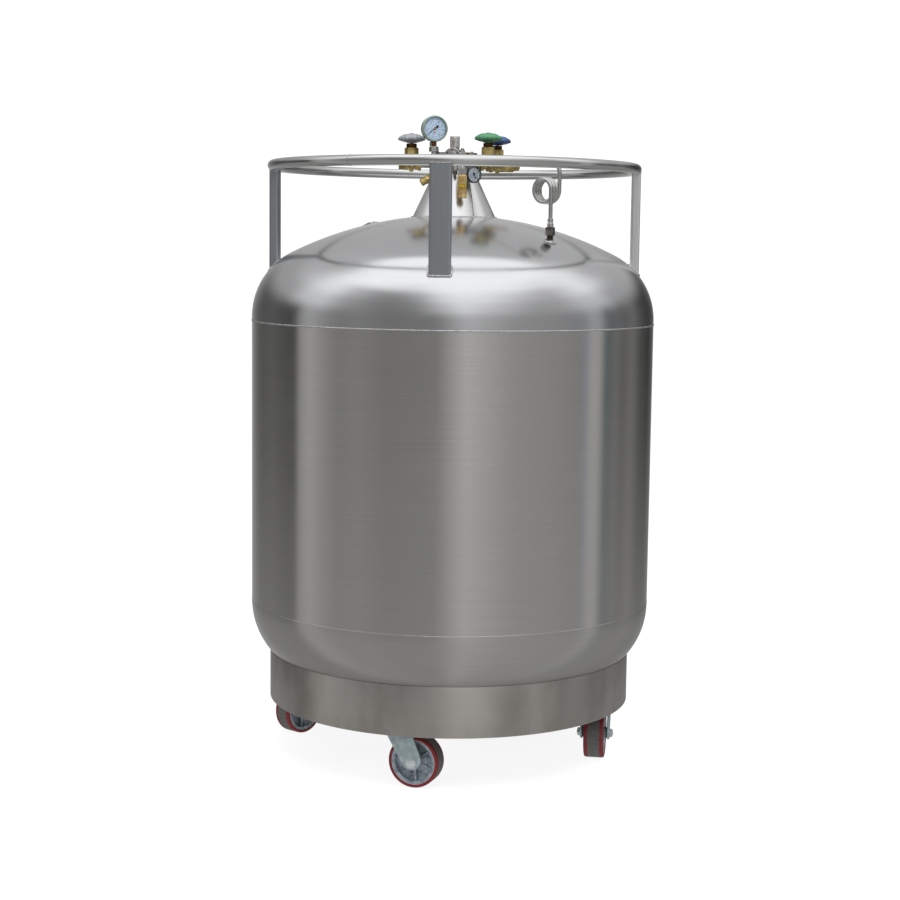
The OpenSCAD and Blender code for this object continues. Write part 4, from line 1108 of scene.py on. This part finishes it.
def pressure_gauge():
    x, y = GAUGE_POS
    spin = shift(x, y, GAUGE_Z) @ turn_z(GAUGE_TURN) @ flip_x(90)
    half, inner, r = GAUGE_DEPTH / 2, GAUGE_DIAL_R, GAUGE_R
    case = [(0, -half), (r - 5, -half), (r - 1, -half + 3), (r - 1, half - 8.5), (r, half - 8), (r, half - 2.5)]
    case += [(r - 2.0, half), (inner + 0.6, half), (inner, half - 1.4), (inner, half - 7), (0, half - 7)]
    lathe("gauge_housing", case, "gauge_enamel", 128, 0.9, cad="gauge_case", place=spin, sharp=50)
    instrument("gauge", spin, half, inner, 7, "dial")
    top = spin @ shift(0, 0, half - 5.99)
    numbers = ("0", "0.5", "1", "1.5", "2", "2.5", "3", "3.5", "4")
    dial_marks("gauge_mark", inner, 225, 270, 40, 5, top, numbers=numbers, size=4.2)
    tag = lathe_data([(0, 0), (2.2, 0), (2.2, 0.12), (0, 0.12)], 24)
    piece("gauge_red_spot", moved(tag, shift(0, -9.5, 0)), "red", place=top)
    needle = spin @ shift(0, 0, half - 5.2) @ turn_z(217)
    riding = {"body": "gauge_pointer", "place": needle}
    piece("gauge_pointer", pointer_data(21, 10, 9, 3.6), "black", cad="gauge_needle", **riding)
    lathe("gauge_pointer_cap", [(0, 1.5), (1.7, 1.5), (1.4, 2.2), (0, 2.3)], "amber", 24, **riding)
    spot = shift(x, y, SOCKET_HEX_Z + SOCKET_HEX_H - 0.5) @ turn_z(GAUGE_TURN)
    shank = slab_data(plate_outline(8.4, 8.4, 0.8), 2.5, 12.5, 0.3)
    piece("gauge_shank", shank, "copper", cad="gauge_socket", place=spot, sharp=24)
    cone = [(0, 0), (10.4, 0), (9.6, 1.4), (6.2, 4.6), (0, 4.6)]
    lathe("gauge_socket_cone", cone, "turned", soft=0.5, cad="gauge_socket", place=spot)
    boss = slab_data(plate_outline(16, 12, 2.0), 3.0, 13.5, 0.6)
    piece("gauge_boss", boss, "gauge_enamel", cad="gauge_case", place=spot @ shift(0, 8.5, 0), sharp=40)
    spot = shift(x, y, SOCKET_HEX_Z)
    nut("gauge_socket_hex", 12, 0, SOCKET_HEX_H, "turned", cad="gauge_socket", place=spot)
    stub = [(0, -7), (SOCKET_R, -7), (SOCKET_R, 12), (SOCKET_R - 1.5, 14), (SOCKET_R - 1.5, 20), (0, 20)]
    reach = math.hypot(x, y) - 38
    run = round_data([(0, 0), (6.5, 0), (6.5, reach), (0, reach)], 0.8, 40)
    bearing = math.degrees(math.atan2(y, x))
    parts = [round_data(stub, 1.0, 40), moved(run, shift(-x, -y, -SOCKET_Z) @ outward(bearing, SOCKET_Z, 40))]
    riser = remeshed(join_data(*parts), 0.7, 3)
    piece("gauge_riser", riser, "turned", cad="gauge_socket", place=shift(x, y, SOCKET_Z), sharp=60)


def level_gauge():
    spin = outward(LEVEL_BEARING - 90, LEVEL_Z, LEVEL_BACK)
    up = spin.to_3x3().inverted() @ Vector((0, 0, 1))
    spin = spin @ turn_z(math.degrees(math.atan2(up.y, up.x)) - 90)
    r, inner, deep = LEVEL_R, LEVEL_DIAL_R, LEVEL_DEPTH
    case = [(0, 0), (r - 2, 0), (r, 2), (r, deep - 1.5), (r - 1.2, deep)]
    case += [(inner + 0.4, deep), (inner, deep - 1.2), (inner, deep - 6), (0, deep - 6)]
    lathe("level_housing", case, "dark_enamel", 96, 0.6, cad="level_case", place=spin, sharp=50)
    instrument("level", spin, deep, inner, 6, "level_dial")
    face = spin @ shift(0, 0, deep - 4.99)
    dial_marks("level_mark", inner, 225, 270, 20, 5, face, numbers=("0", "25", "50", "75", "100"), size=3.4)
    rows = []
    for j in range(6):
        for i in range(-3, 4):
            u, v = i * 3.2 + 0.8 * (j % 2), -9.0 + j * 3.6
            if 3.4 < math.hypot(u, v) < inner * 0.66:
                dash = [(u - 1.3, v - 0.7), (u + 1.3, v - 0.7), (u + 1.3, v + 0.7), (u - 1.3, v + 0.7)]
                rows.append(strip_data(dash, 0.1))
    piece("level_rows", join_data(*rows), "ink", place=face)
    needle = spin @ shift(0, 0, deep - 4.2) @ turn_z(-60)
    piece(
        "level_pointer", pointer_data(12, 4, 4, 1.8), "black", body="level_pointer", cad="level_needle",
        place=needle,
    )


def regulator():
    spin = outward(REG_BEARING - 90, REG_Z, REG_BACK)
    r, d = REG_R, REG_DEPTH
    line = [
        (0, 0), (r - 4, 0), (r - 3, 2), (r - 3, 4), (r, 5), (r, d - 1), (r - 1, d), (r - 3.2, d), (r - 4, d - 3),
    ]
    line += [(r - 7.4, d - 3), (r - 8.4, d - 1.8), (0, d - 1.4)]
    lathe("regulator_drum", line, "turned", segments=96, soft=0.7, cad="regulator_housing", place=spin, sharp=40)
    bleed = soften([(0, 0), (5.5, 0), (5.5, 10.5), (0, 10.5)], 0.8)
    spot = shift(2, -68, REG_Z - 45.5)
    lathe("regulator_bleed", bleed, "dark_nut", cad="regulator_housing", place=spot)
    nut("regulator_bleed_hex", 7, 10, 29, "turned", cad="regulator_housing", place=spot)
    parts = []
    for k in range(6):
        screw = round_data([(0, d - 3), (1.7, d - 3), (1.7, d - 1.4), (0, d - 1.4)], 0.3, 16)
        parts.append(moved(screw, turn_z(60 * k + 30) @ shift(r - 5.7, 0, 0)))
    piece("regulator_screws", join_data(*parts), "dark_nut", place=spin)
    place = aim(BURST_START, BURST_AIM)
    long = BURST_LEN * Vector(BURST_AIM).length
    line = [
        (0, 0), (9.4, 0), (9.4, 18.5), (8.6, 19.4), (8.6, 20.4), (9.4, 21.3), (9.4, long - 1), (8.6, long),
        (6, long), (6, long - 11), (0, long - 11),
    ]
    lathe("burst_barrel", line, "brass", segments=64, soft=0.5, cad="burst_disc_holder", place=place)
    nut("burst_hex", 11.6, 20, 29, "brass", bore=8.0, cad="burst_disc_holder", place=place)


# ---------------------------------------------------------------- coil tube


def coil():
    b = math.radians(COIL_BEARING)
    axis, side, up = Vector((math.cos(b), math.sin(b), 0)), Vector((math.sin(b), -math.cos(b), 0)), Vector((0, 0, 1))
    foot = Vector((FOOT[0], FOOT[1], 0))
    centre = foot + COIL_Z * up - COIL_R * side
    end = centre + COIL_R * side + COIL_TURNS * COIL_PITCH * axis
    px, py = VALVES["pressure"]
    out = Vector((px, py, 0)).normalized()
    face = Vector((px, py, VALVE_Z)) + (BARREL_OUT + OUTLET_LEN) * out
    bend = face + 30 * out
    run = Vector((bend.x - end.x, bend.y - end.y, 0)).normalized()
    elbow = Vector((end.x, end.y, VALVE_Z - ELBOW_R))
    path = [
        foot + z * up
        for z in (COIL_START_Z - 4, COIL_START_Z + 10, COIL_START_Z + 30, COIL_Z - 22, COIL_Z - 8)
    ]
    steps = 60
    for i in range(1, COIL_TURNS * steps):
        a = 2 * math.pi * i / steps
        path.append(centre + COIL_R * (math.cos(a) * side + math.sin(a) * up) + COIL_PITCH * i / steps * axis)
    path += [Vector((end.x, end.y, z)) for z in (COIL_Z + 8, COIL_Z + 22, elbow.z - 4)]
    for k in range(0, 91, 6):
        a = math.radians(k)
        path.append(elbow + ELBOW_R * (1 - math.cos(a)) * run + ELBOW_R * math.sin(a) * up)
    far = bend - 14 * run
    start = path[-1]
    path += [start.lerp(far, k / 8) for k in range(1, 9)]
    goal = bend - 14 * out
    path += [far.lerp(bend, t).lerp(bend.lerp(goal, t), t) for t in (k / 10 for k in range(1, 11))]
    path += [goal.lerp(face, k / 3) for k in range(1, 4)]
    piece("coil_pipe", sweep_data(path, COIL_TUBE_R, 24), "tube", cad="coil_tube", sharp=60)
    place = shift(FOOT[0], FOOT[1], FITTING_Z)
    nut_z = FITTING_NUT_Z - FITTING_Z
    boss = [(0, -8), (11, -8), (11, 12), (9.5, 14), (0, 14)]
    lathe("coil_boss", boss, "turned", soft=0.8, cad="tube_fitting", place=place)
    piece(
        "coil_thread", thread_data(8.2, 13, 28, 2.0, 0.9, segments=48), "dark_nut", cad="tube_fitting", place=place,
    )
    nut("coil_nut", 11.6, nut_z, nut_z + FITTING_NUT_H, "dark_nut", cad="tube_fitting", place=place)
    top = COIL_START_Z - FITTING_Z
    sleeve = [
        (0, nut_z + FITTING_NUT_H - 1), (7.8, nut_z + FITTING_NUT_H - 1), (7.8, nut_z + FITTING_NUT_H + 7),
        (6.2, top - 8), (7.0, top - 7), (7.0, top), (0, top),
    ]
    lathe("coil_sleeve", sleeve, "turned", soft=1.0, cad="tube_fitting", place=place)
    tilt = Vector((FOOT[0], FOOT[1], math.sqrt(CROWN_R**2 - FOOT[0] ** 2 - FOOT[1] ** 2)))
    spot = aim((FOOT[0], FOOT[1], dome_z(math.hypot(*FOOT))), tilt)
    bead(
        "coil_weld", circle_path(12.0, 0.8, 80), 3.0, flat=0.9, seed=70, pitch=3.0, rough=0.25,
        slot="fitting_steel", place=spot,
    )
    place = aim(face, out)
    nut("coil_union", 17, -8, 12, "brass", bore=5.0, cad="tube_fitting", place=place)


# ---------------------------------------------------------------- casters


def slab_data(outline, z0, z1, edge=0.6):
    """An extruded outline with small bevels."""
    cx = sum(p[0] for p in outline) / len(outline)
    cy = sum(p[1] for p in outline) / len(outline)
    rows = []
    for z, inset in ((z0, edge), (z0 + edge, 0.0), (z1 - edge, 0.0), (z1, edge)):
        row = []
        for x, y in outline:
            d = math.hypot(x - cx, y - cy)
            s = (d - inset) / d
            row.append((cx + (x - cx) * s, cy + (y - cy) * s, z))
        rows.append(row)
    return stacked(rows)


def fork_leg_outline():
    """Side view of a fork leg as (x along the trail, z), with a rounded end round the axle."""
    crown = FORK_CROWN_Z + FORK_CROWN_T
    end = 25.0
    axle = Vector((TRAIL - 1, CASTER_WHEEL_R + 8.5))
    back = CROWN_BACK - 12
    pts = [(back, crown), (back, crown - 8)]
    left, right = Vector((back, crown - 8)), Vector((CROWN_FRONT, FORK_CROWN_Z - 22))

    def tangent(p, sign):
        d = p - axle
        base = math.atan2(d.y, d.x)
        return base + sign * math.acos(end / d.length)

    a0, a1 = tangent(left, 1), tangent(right, -1)
    while a1 < a0:
        a1 += 2 * math.pi
    for k in range(21):
        a = a0 + (a1 - a0) * k / 20
        pts.append((axle.x + end * math.cos(a), axle.y + end * math.sin(a)))
    pts += [(CROWN_FRONT, FORK_CROWN_Z - 22), (CROWN_FRONT, crown)]
    return pts


def wheel_data():
    """Cast core in the wheel's own frame, Z along the axle: rim, dished web, hub and ribs on both sides."""
    r_in, rim = 47.0, 21.0
    hub = FORK_IN - 1
    line = [
        (AXLE_R + 0.05, -hub), (13, -hub), (15, -hub + 2), (15.6, -7), (19, -4.4), (40, -4.0), (r_in - 1, -8),
        (r_in, -rim + 1),
    ]
    line += [(r_in + 1, -rim), (TYRE_IN_R - 0.05, -rim)]
    other = [(r, -z) for r, z in reversed(line)]
    core = round_data(line + other, 1.0, 96, loop=True)
    parts = []
    for side in (1, -1):
        for k in range(6):
            tall = 1.0 if k % 2 == 0 else 0.35
            rib = [
                (13, 3), (r_in + 0.5, 3), (r_in + 0.5, 3 + 12.5 * tall), (38, 3 + 11 * tall), (22, 3 + 12 * tall),
                (13, 3 + 16 * tall),
            ]
            verts = [(x, w * 2.6 * (1 - 0.18 * (z > 3)), z) for w in (-1, 1) for x, z in rib]
            n = len(rib)
            faces = [list(range(n))[::-1], [n + i for i in range(n)]]
            faces += [[i, (i + 1) % n, n + (i + 1) % n, n + i] for i in range(n)]
            flip = flip_x(180) if side < 0 else Matrix.Identity(4)
            parts.append(moved((verts, faces), turn_z(60 * k + 35) @ flip))
        ring = soften([(29.0, 3.5), (31.5, 3.5), (31.2, 6.4), (29.3, 6.4)], 0.6, 2, loop=True)
        band = lathe_data(ring, 72)
        parts.append(band if side > 0 else moved(band, flip_x(180)))
    # A thin lip at the core's rim, in the bright bolt zinc instead of the iron: a painted highlight line round the
    # rim.
    lip = round_data(
        [(52.6, 20), (TYRE_IN_R - 0.1, 20), (TYRE_IN_R - 0.1, 22.2), (53.0, 22.6)], 0.5, 96, steps=2, loop=True,
    )
    lip_highlights = join_data(lip, moved(lip, flip_x(180)))
    return core, join_data(*parts), lip_highlights


def tyre_data():
    half, r = WHEEL_W / 2, CASTER_WHEEL_R
    line = [
        (TYRE_IN_R, -half + 1.2), (TYRE_IN_R + 1.2, -half + 0.2), (r - 4, -half), (r - 1.4, -half + 1.2),
        (r - 0.2, -half + 4),
    ]
    line += [(r, -half + 9), (r, half - 9)] + [(a, -b) for a, b in reversed(line)]
    return round_data(line, 1.2, 128, loop=True)


def caster_frame(leg):
    """Two legs and the crown plate as one skin, in the caster's own frame."""
    parts = []
    for y in (FORK_IN, -FORK_IN - FORK_T):
        parts.append(moved(slab_data(leg, 0, FORK_T, 0.7), shift(0, y + FORK_T, 0) @ flip_x(90)))
    back = CROWN_BACK - 8
    top = plate_outline(CROWN_FRONT - back, 2 * FORK_IN + 2 * FORK_T, 4)
    crown = slab_data(top, FORK_CROWN_Z, FORK_CROWN_Z + FORK_CROWN_T, 0.8)
    parts.append(moved(crown, shift((CROWN_FRONT + back) / 2, 0, 0)))
    return remeshed(join_data(*parts), 0.9, 2)


def axle_data():
    """Axle bolt with a washer and a nut at each end, along Z."""
    reach = FORK_IN + FORK_T
    end = reach + 9.5
    parts = [round_data([(0, -end), (6, -end), (6, end), (0, end)], 0.8, 32)]
    washer = round_data([(6, 0), (13, 0), (13, 1.6), (6, 1.6)], 0.4, 40, steps=2, loop=True)
    parts += [moved(washer, shift(0, 0, reach)), moved(washer, shift(0, 0, -reach - 1.6))]
    parts += [
        moved(nut_data(10.5, 1.6, 8.0), shift(0, 0, reach)), moved(nut_data(10.5, -8.0, -1.6), shift(0, 0, -reach)),
    ]
    return join_data(*parts)


def casters():
    core, ribs, lip_highlights = wheel_data()
    frame_skin, axle, tyre = caster_frame(fork_leg_outline()), axle_data(), tyre_data()
    z = FORK_CROWN_Z + FORK_CROWN_T
    race = [(24.0, z - 1), (30.0, z - 1), (32.0, z + 1.5), (32.0, z + 5), (30.5, z + 6.8), (24.0, z + 6.8)]
    for name, (bearing, heading) in CASTERS.items():
        swing = turn_z(bearing - 90) @ shift(CASTER_RING_R, 0, 0) @ turn_z(heading - bearing + 90)
        fork = {"body": f"caster_{name}", "cad": f"fork_{name}"}
        piece(f"fork_frame_{name}", frame_skin, "zinc", place=swing, sharp=50, **fork)
        lathe(f"fork_race_{name}", race, "zinc_painted_shade", loop=True, soft=0.8, place=swing, **fork)
        hub = swing @ shift(TRAIL, 0, CASTER_WHEEL_R) @ flip_x(90)
        piece(f"axle_bolt_{name}", axle, "bolt_head", place=hub, sharp=24, **fork)
        wheel = {"body": f"wheel_{name}", "place": hub}
        piece(f"wheel_rim_{name}", core, "iron", cad=f"wheel_core_{name}", sharp=50, **wheel)
        piece(f"wheel_ribs_{name}", ribs, "iron", cad=f"wheel_core_{name}", sharp=40, **wheel)
        # The rim lip rings wear a painted highlight.
        piece(f"wheel_lip_highlights_{name}", lip_highlights, "bolt_head", slot="core_iron", sharp=60, **wheel)
        piece(f"wheel_tyre_{name}", tyre, "tyre", cad=f"tyre_{name}", sharp=60, **wheel)


# ---------------------------------------------------------------- CAD nodes that stay


def paint_rest():
    """Every CAD node still shown gets a finished material."""
    known = {
        "vessel_steel": "turned",
        "insulation_wrap": "wrap",
        "glass_laminate": "laminate",
        "getter_case": "turned",
        "seat_plastic": "seat",
        "spring_steel": "turned",
        "needle_black": "black",
        "skirt_steel": "skirt",
        "zinc_steel": "zinc",
        "fitting_steel": "turned",
        "head_steel": "turned",
    }
    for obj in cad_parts.values():
        if obj.hide_render:
            continue
        for k, slot in enumerate(obj.material_slots):
            name = slot.material.name.split(".")[0] if slot.material else ""
            obj.material_slots[k].link = "OBJECT"
            obj.material_slots[k].material = MAT[known.get(name, "turned")]


# ---------------------------------------------------------------- stage, light and camera


def stage():
    """A pale floor that reaches far out; it isn't part of the object."""
    rings, segments = [0.0, 0.6, 1.2, 2.5, 5.0, 12.0, 60.0], 96
    verts, faces = lathe_data([(r * 1000, 0.0) for r in rings], segments, closed=False)
    floor = mesh_object("floor", verts, faces)
    material = bpy.data.materials.new("floor_paper")
    material.use_nodes = True
    g = Graph(material.node_tree)
    tint = g.noise(g.here(), scale=3.0, detail=3.0)
    tone = g.mix(g.range(tint, 0.3, 0.7), grey(0.88), grey(0.9))
    matte = g.add("BsdfDiffuse", {"Color": grey(0.17)})
    glow = g.add("Emission", {"Color": tone, "Strength": 1.0})
    g.add("OutputMaterial", {"Surface": g.add("AddShader", {0: matte, 1: glow})})
    floor.data.materials.append(material)
    floor.visible_glossy = False
    wall = lathe_data(
        [(58000.0, -3000.0), (58500.0, 6000.0), (56000.0, 20000.0), (40000.0, 44000.0), (0.0, 56000.0)], segments,
        closed=False,
    )
    sky = mesh_object("backdrop", *wall)
    material = bpy.data.materials.new("backdrop_white")
    material.use_nodes = True
    g = Graph(material.node_tree)
    g.add("OutputMaterial", {"Surface": g.add("Emission", {"Color": grey(1.0), "Strength": 1.1})})
    sky.data.materials.append(material)
    for flag in (
        "visible_diffuse", "visible_glossy", "visible_transmission", "visible_volume_scatter", "visible_shadow",
    ):
        setattr(sky, flag, False)


def light():
    """A soft studio: the world holds bright panels and darker gaps by direction, and two lamps give form."""
    world = bpy.data.worlds.new("studio")
    bpy.context.scene.world = world
    world.use_nodes = True
    g = Graph(world.node_tree)
    x, y, z = g.xyz(g.add("TexCoord", out="Generated"))
    turn = g.math("ARCTAN2", x, g.math("MULTIPLY", y, -1.0))
    around = g.math("ADD", g.math("DIVIDE", turn, 2 * math.pi), 0.5)

    def band(*stops):
        """A ring of grey panels as (bearing from the front in degrees, brightness or colour)."""
        return g.ramp(around, [((a + 180) / 360, v if isinstance(v, tuple) else (v, v, v)) for a, v in stops])

    def rise(a, b):
        return g.range(height, math.radians(a), math.radians(b))

    height = g.math("ARCSINE", g.math("MAXIMUM", g.math("MINIMUM", z, 1.0), -1.0))
    level = band(
        (-180, 0.72), (-170, 0.42), (-157, 0.24), (-147, 0.14), (-138, 0.10), (-122, 0.12), (-108, 0.08),
        (-99, 0.06), (-94, 0.38), (-86, 0.46), (-76, 0.32), (-66, 0.24), (-54, 0.27), (-36, 0.215), (-8, 0.235),
        (-1, 0.40), (8, 0.60), (18, 0.50), (34, 0.37), (60, 0.32), (76, 0.27), (80, (0.28, 0.29, 0.35)), (84, 0.46),
        (90, 0.46), (96, (0.09, 0.115, 0.13)), (105, 0.18), (112, 0.13), (122, 0.19), (134, 0.08), (148, 0.04),
        (162, 0.12), (180, 0.72),
    )
    low = band(
        (-180, 0.54), (-150, 0.42), (-115, 0.46), (-100, 0.78), (-84, 0.83), (-68, 0.43), (-42, 0.25), (-22, 0.27),
        (-8, 0.60), (6, 1.0), (22, 0.77), (50, 0.43), (67, 0.46), (84, 0.70), (97, 0.73), (112, 0.46), (150, 0.53),
        (180, 0.54),
    )
    middle = band(
        (-180, 0.50), (-130, 0.60), (-113, 0.77), (-98, 1.10), (-84, 1.15), (-68, 0.66), (-50, 0.36), (-36, 0.30),
        (-22, 0.45), (-8, 0.98), (6, 1.15), (22, 1.07), (40, 0.82), (66, 0.55), (82, 0.90), (97, 1.20), (112, 0.93),
        (128, 0.60), (157, 0.55), (180, 0.50),
    )
    upper = band(
        (-180, 0.48), (-150, 0.60), (-128, 0.52), (-112, 0.78), (-98, 1.25), (-70, 1.40), (-53, 1.32), (-30, 1.08),
        (-8, 1.33), (40, 1.31), (70, 1.12), (112, 1.18), (128, 0.86), (150, 0.60), (180, 0.48),
    )
    tone = g.mix(rise(9, 23), level, low)
    tone = g.mix(rise(26, 39), tone, middle)
    tone = g.mix(rise(42, 53), tone, upper)
    tone = g.mix(rise(55, 65), tone, (1.34, 1.35, 1.38, 1.0))
    under = g.mix(0.6, level, (0.40, 0.40, 0.39, 1.0))
    tone = g.mix(rise(-3, -16), tone, under)
    g.add("OutputWorld", {"Surface": g.add("Background", {"Color": tone, "Strength": 1.0})})

    def lamp(name, place, size, power):
        data = bpy.data.lights.new(name, "AREA")
        data.shape, data.size, data.size_y, data.energy = "RECTANGLE", size, size, power
        obj = bpy.data.objects.new(name, data)
        obj.location = place
        obj.rotation_euler = (Vector((0, 0, 0.8)) - Vector(place)).to_track_quat("-Z", "Y").to_euler()
        obj.visible_glossy = False
        bpy.context.scene.collection.objects.link(obj)

    lamp("overhead", (0.6, -1.2, 4.6), 4.0, 260.0)
    lamp("fill_front", (-2.6, -4.2, 2.4), 2.4, 60.0)


def camera():
    """Placed at the front, a little above the shoulder, with the small yaw and roll of a hand-held view."""
    data = bpy.data.cameras.new("view")
    data.lens, data.sensor_width = 72.594, 36.0
    data.clip_start, data.clip_end = 0.05, 200.0
    obj = bpy.data.objects.new("view", data)
    pitch, yaw, roll = 0.1141985, -0.0006468, 0.0121811
    ahead = Vector((math.sin(yaw) * math.cos(pitch), math.cos(yaw) * math.cos(pitch), -math.sin(pitch)))
    right = Vector((math.cos(yaw), -math.sin(yaw), 0.0))
    top = right.cross(ahead)
    x = right * math.cos(roll) + top * math.sin(roll)
    y = top * math.cos(roll) - right * math.sin(roll)
    turn = Matrix((x, y, -ahead)).transposed().to_4x4()
    turn.translation = Vector((0.0, -4.589, 1.2874))
    obj.matrix_world = turn
    bpy.context.scene.collection.objects.link(obj)
    bpy.context.scene.camera = obj


vessel()
neck()
rail()
pump_out()
valves()
neck_pipes()
relief()
pressure_gauge()
level_gauge()
regulator()
coil()
casters()
paint_rest()
stage()
light()
camera()
bpy.context.scene.view_settings.view_transform = "Standard"
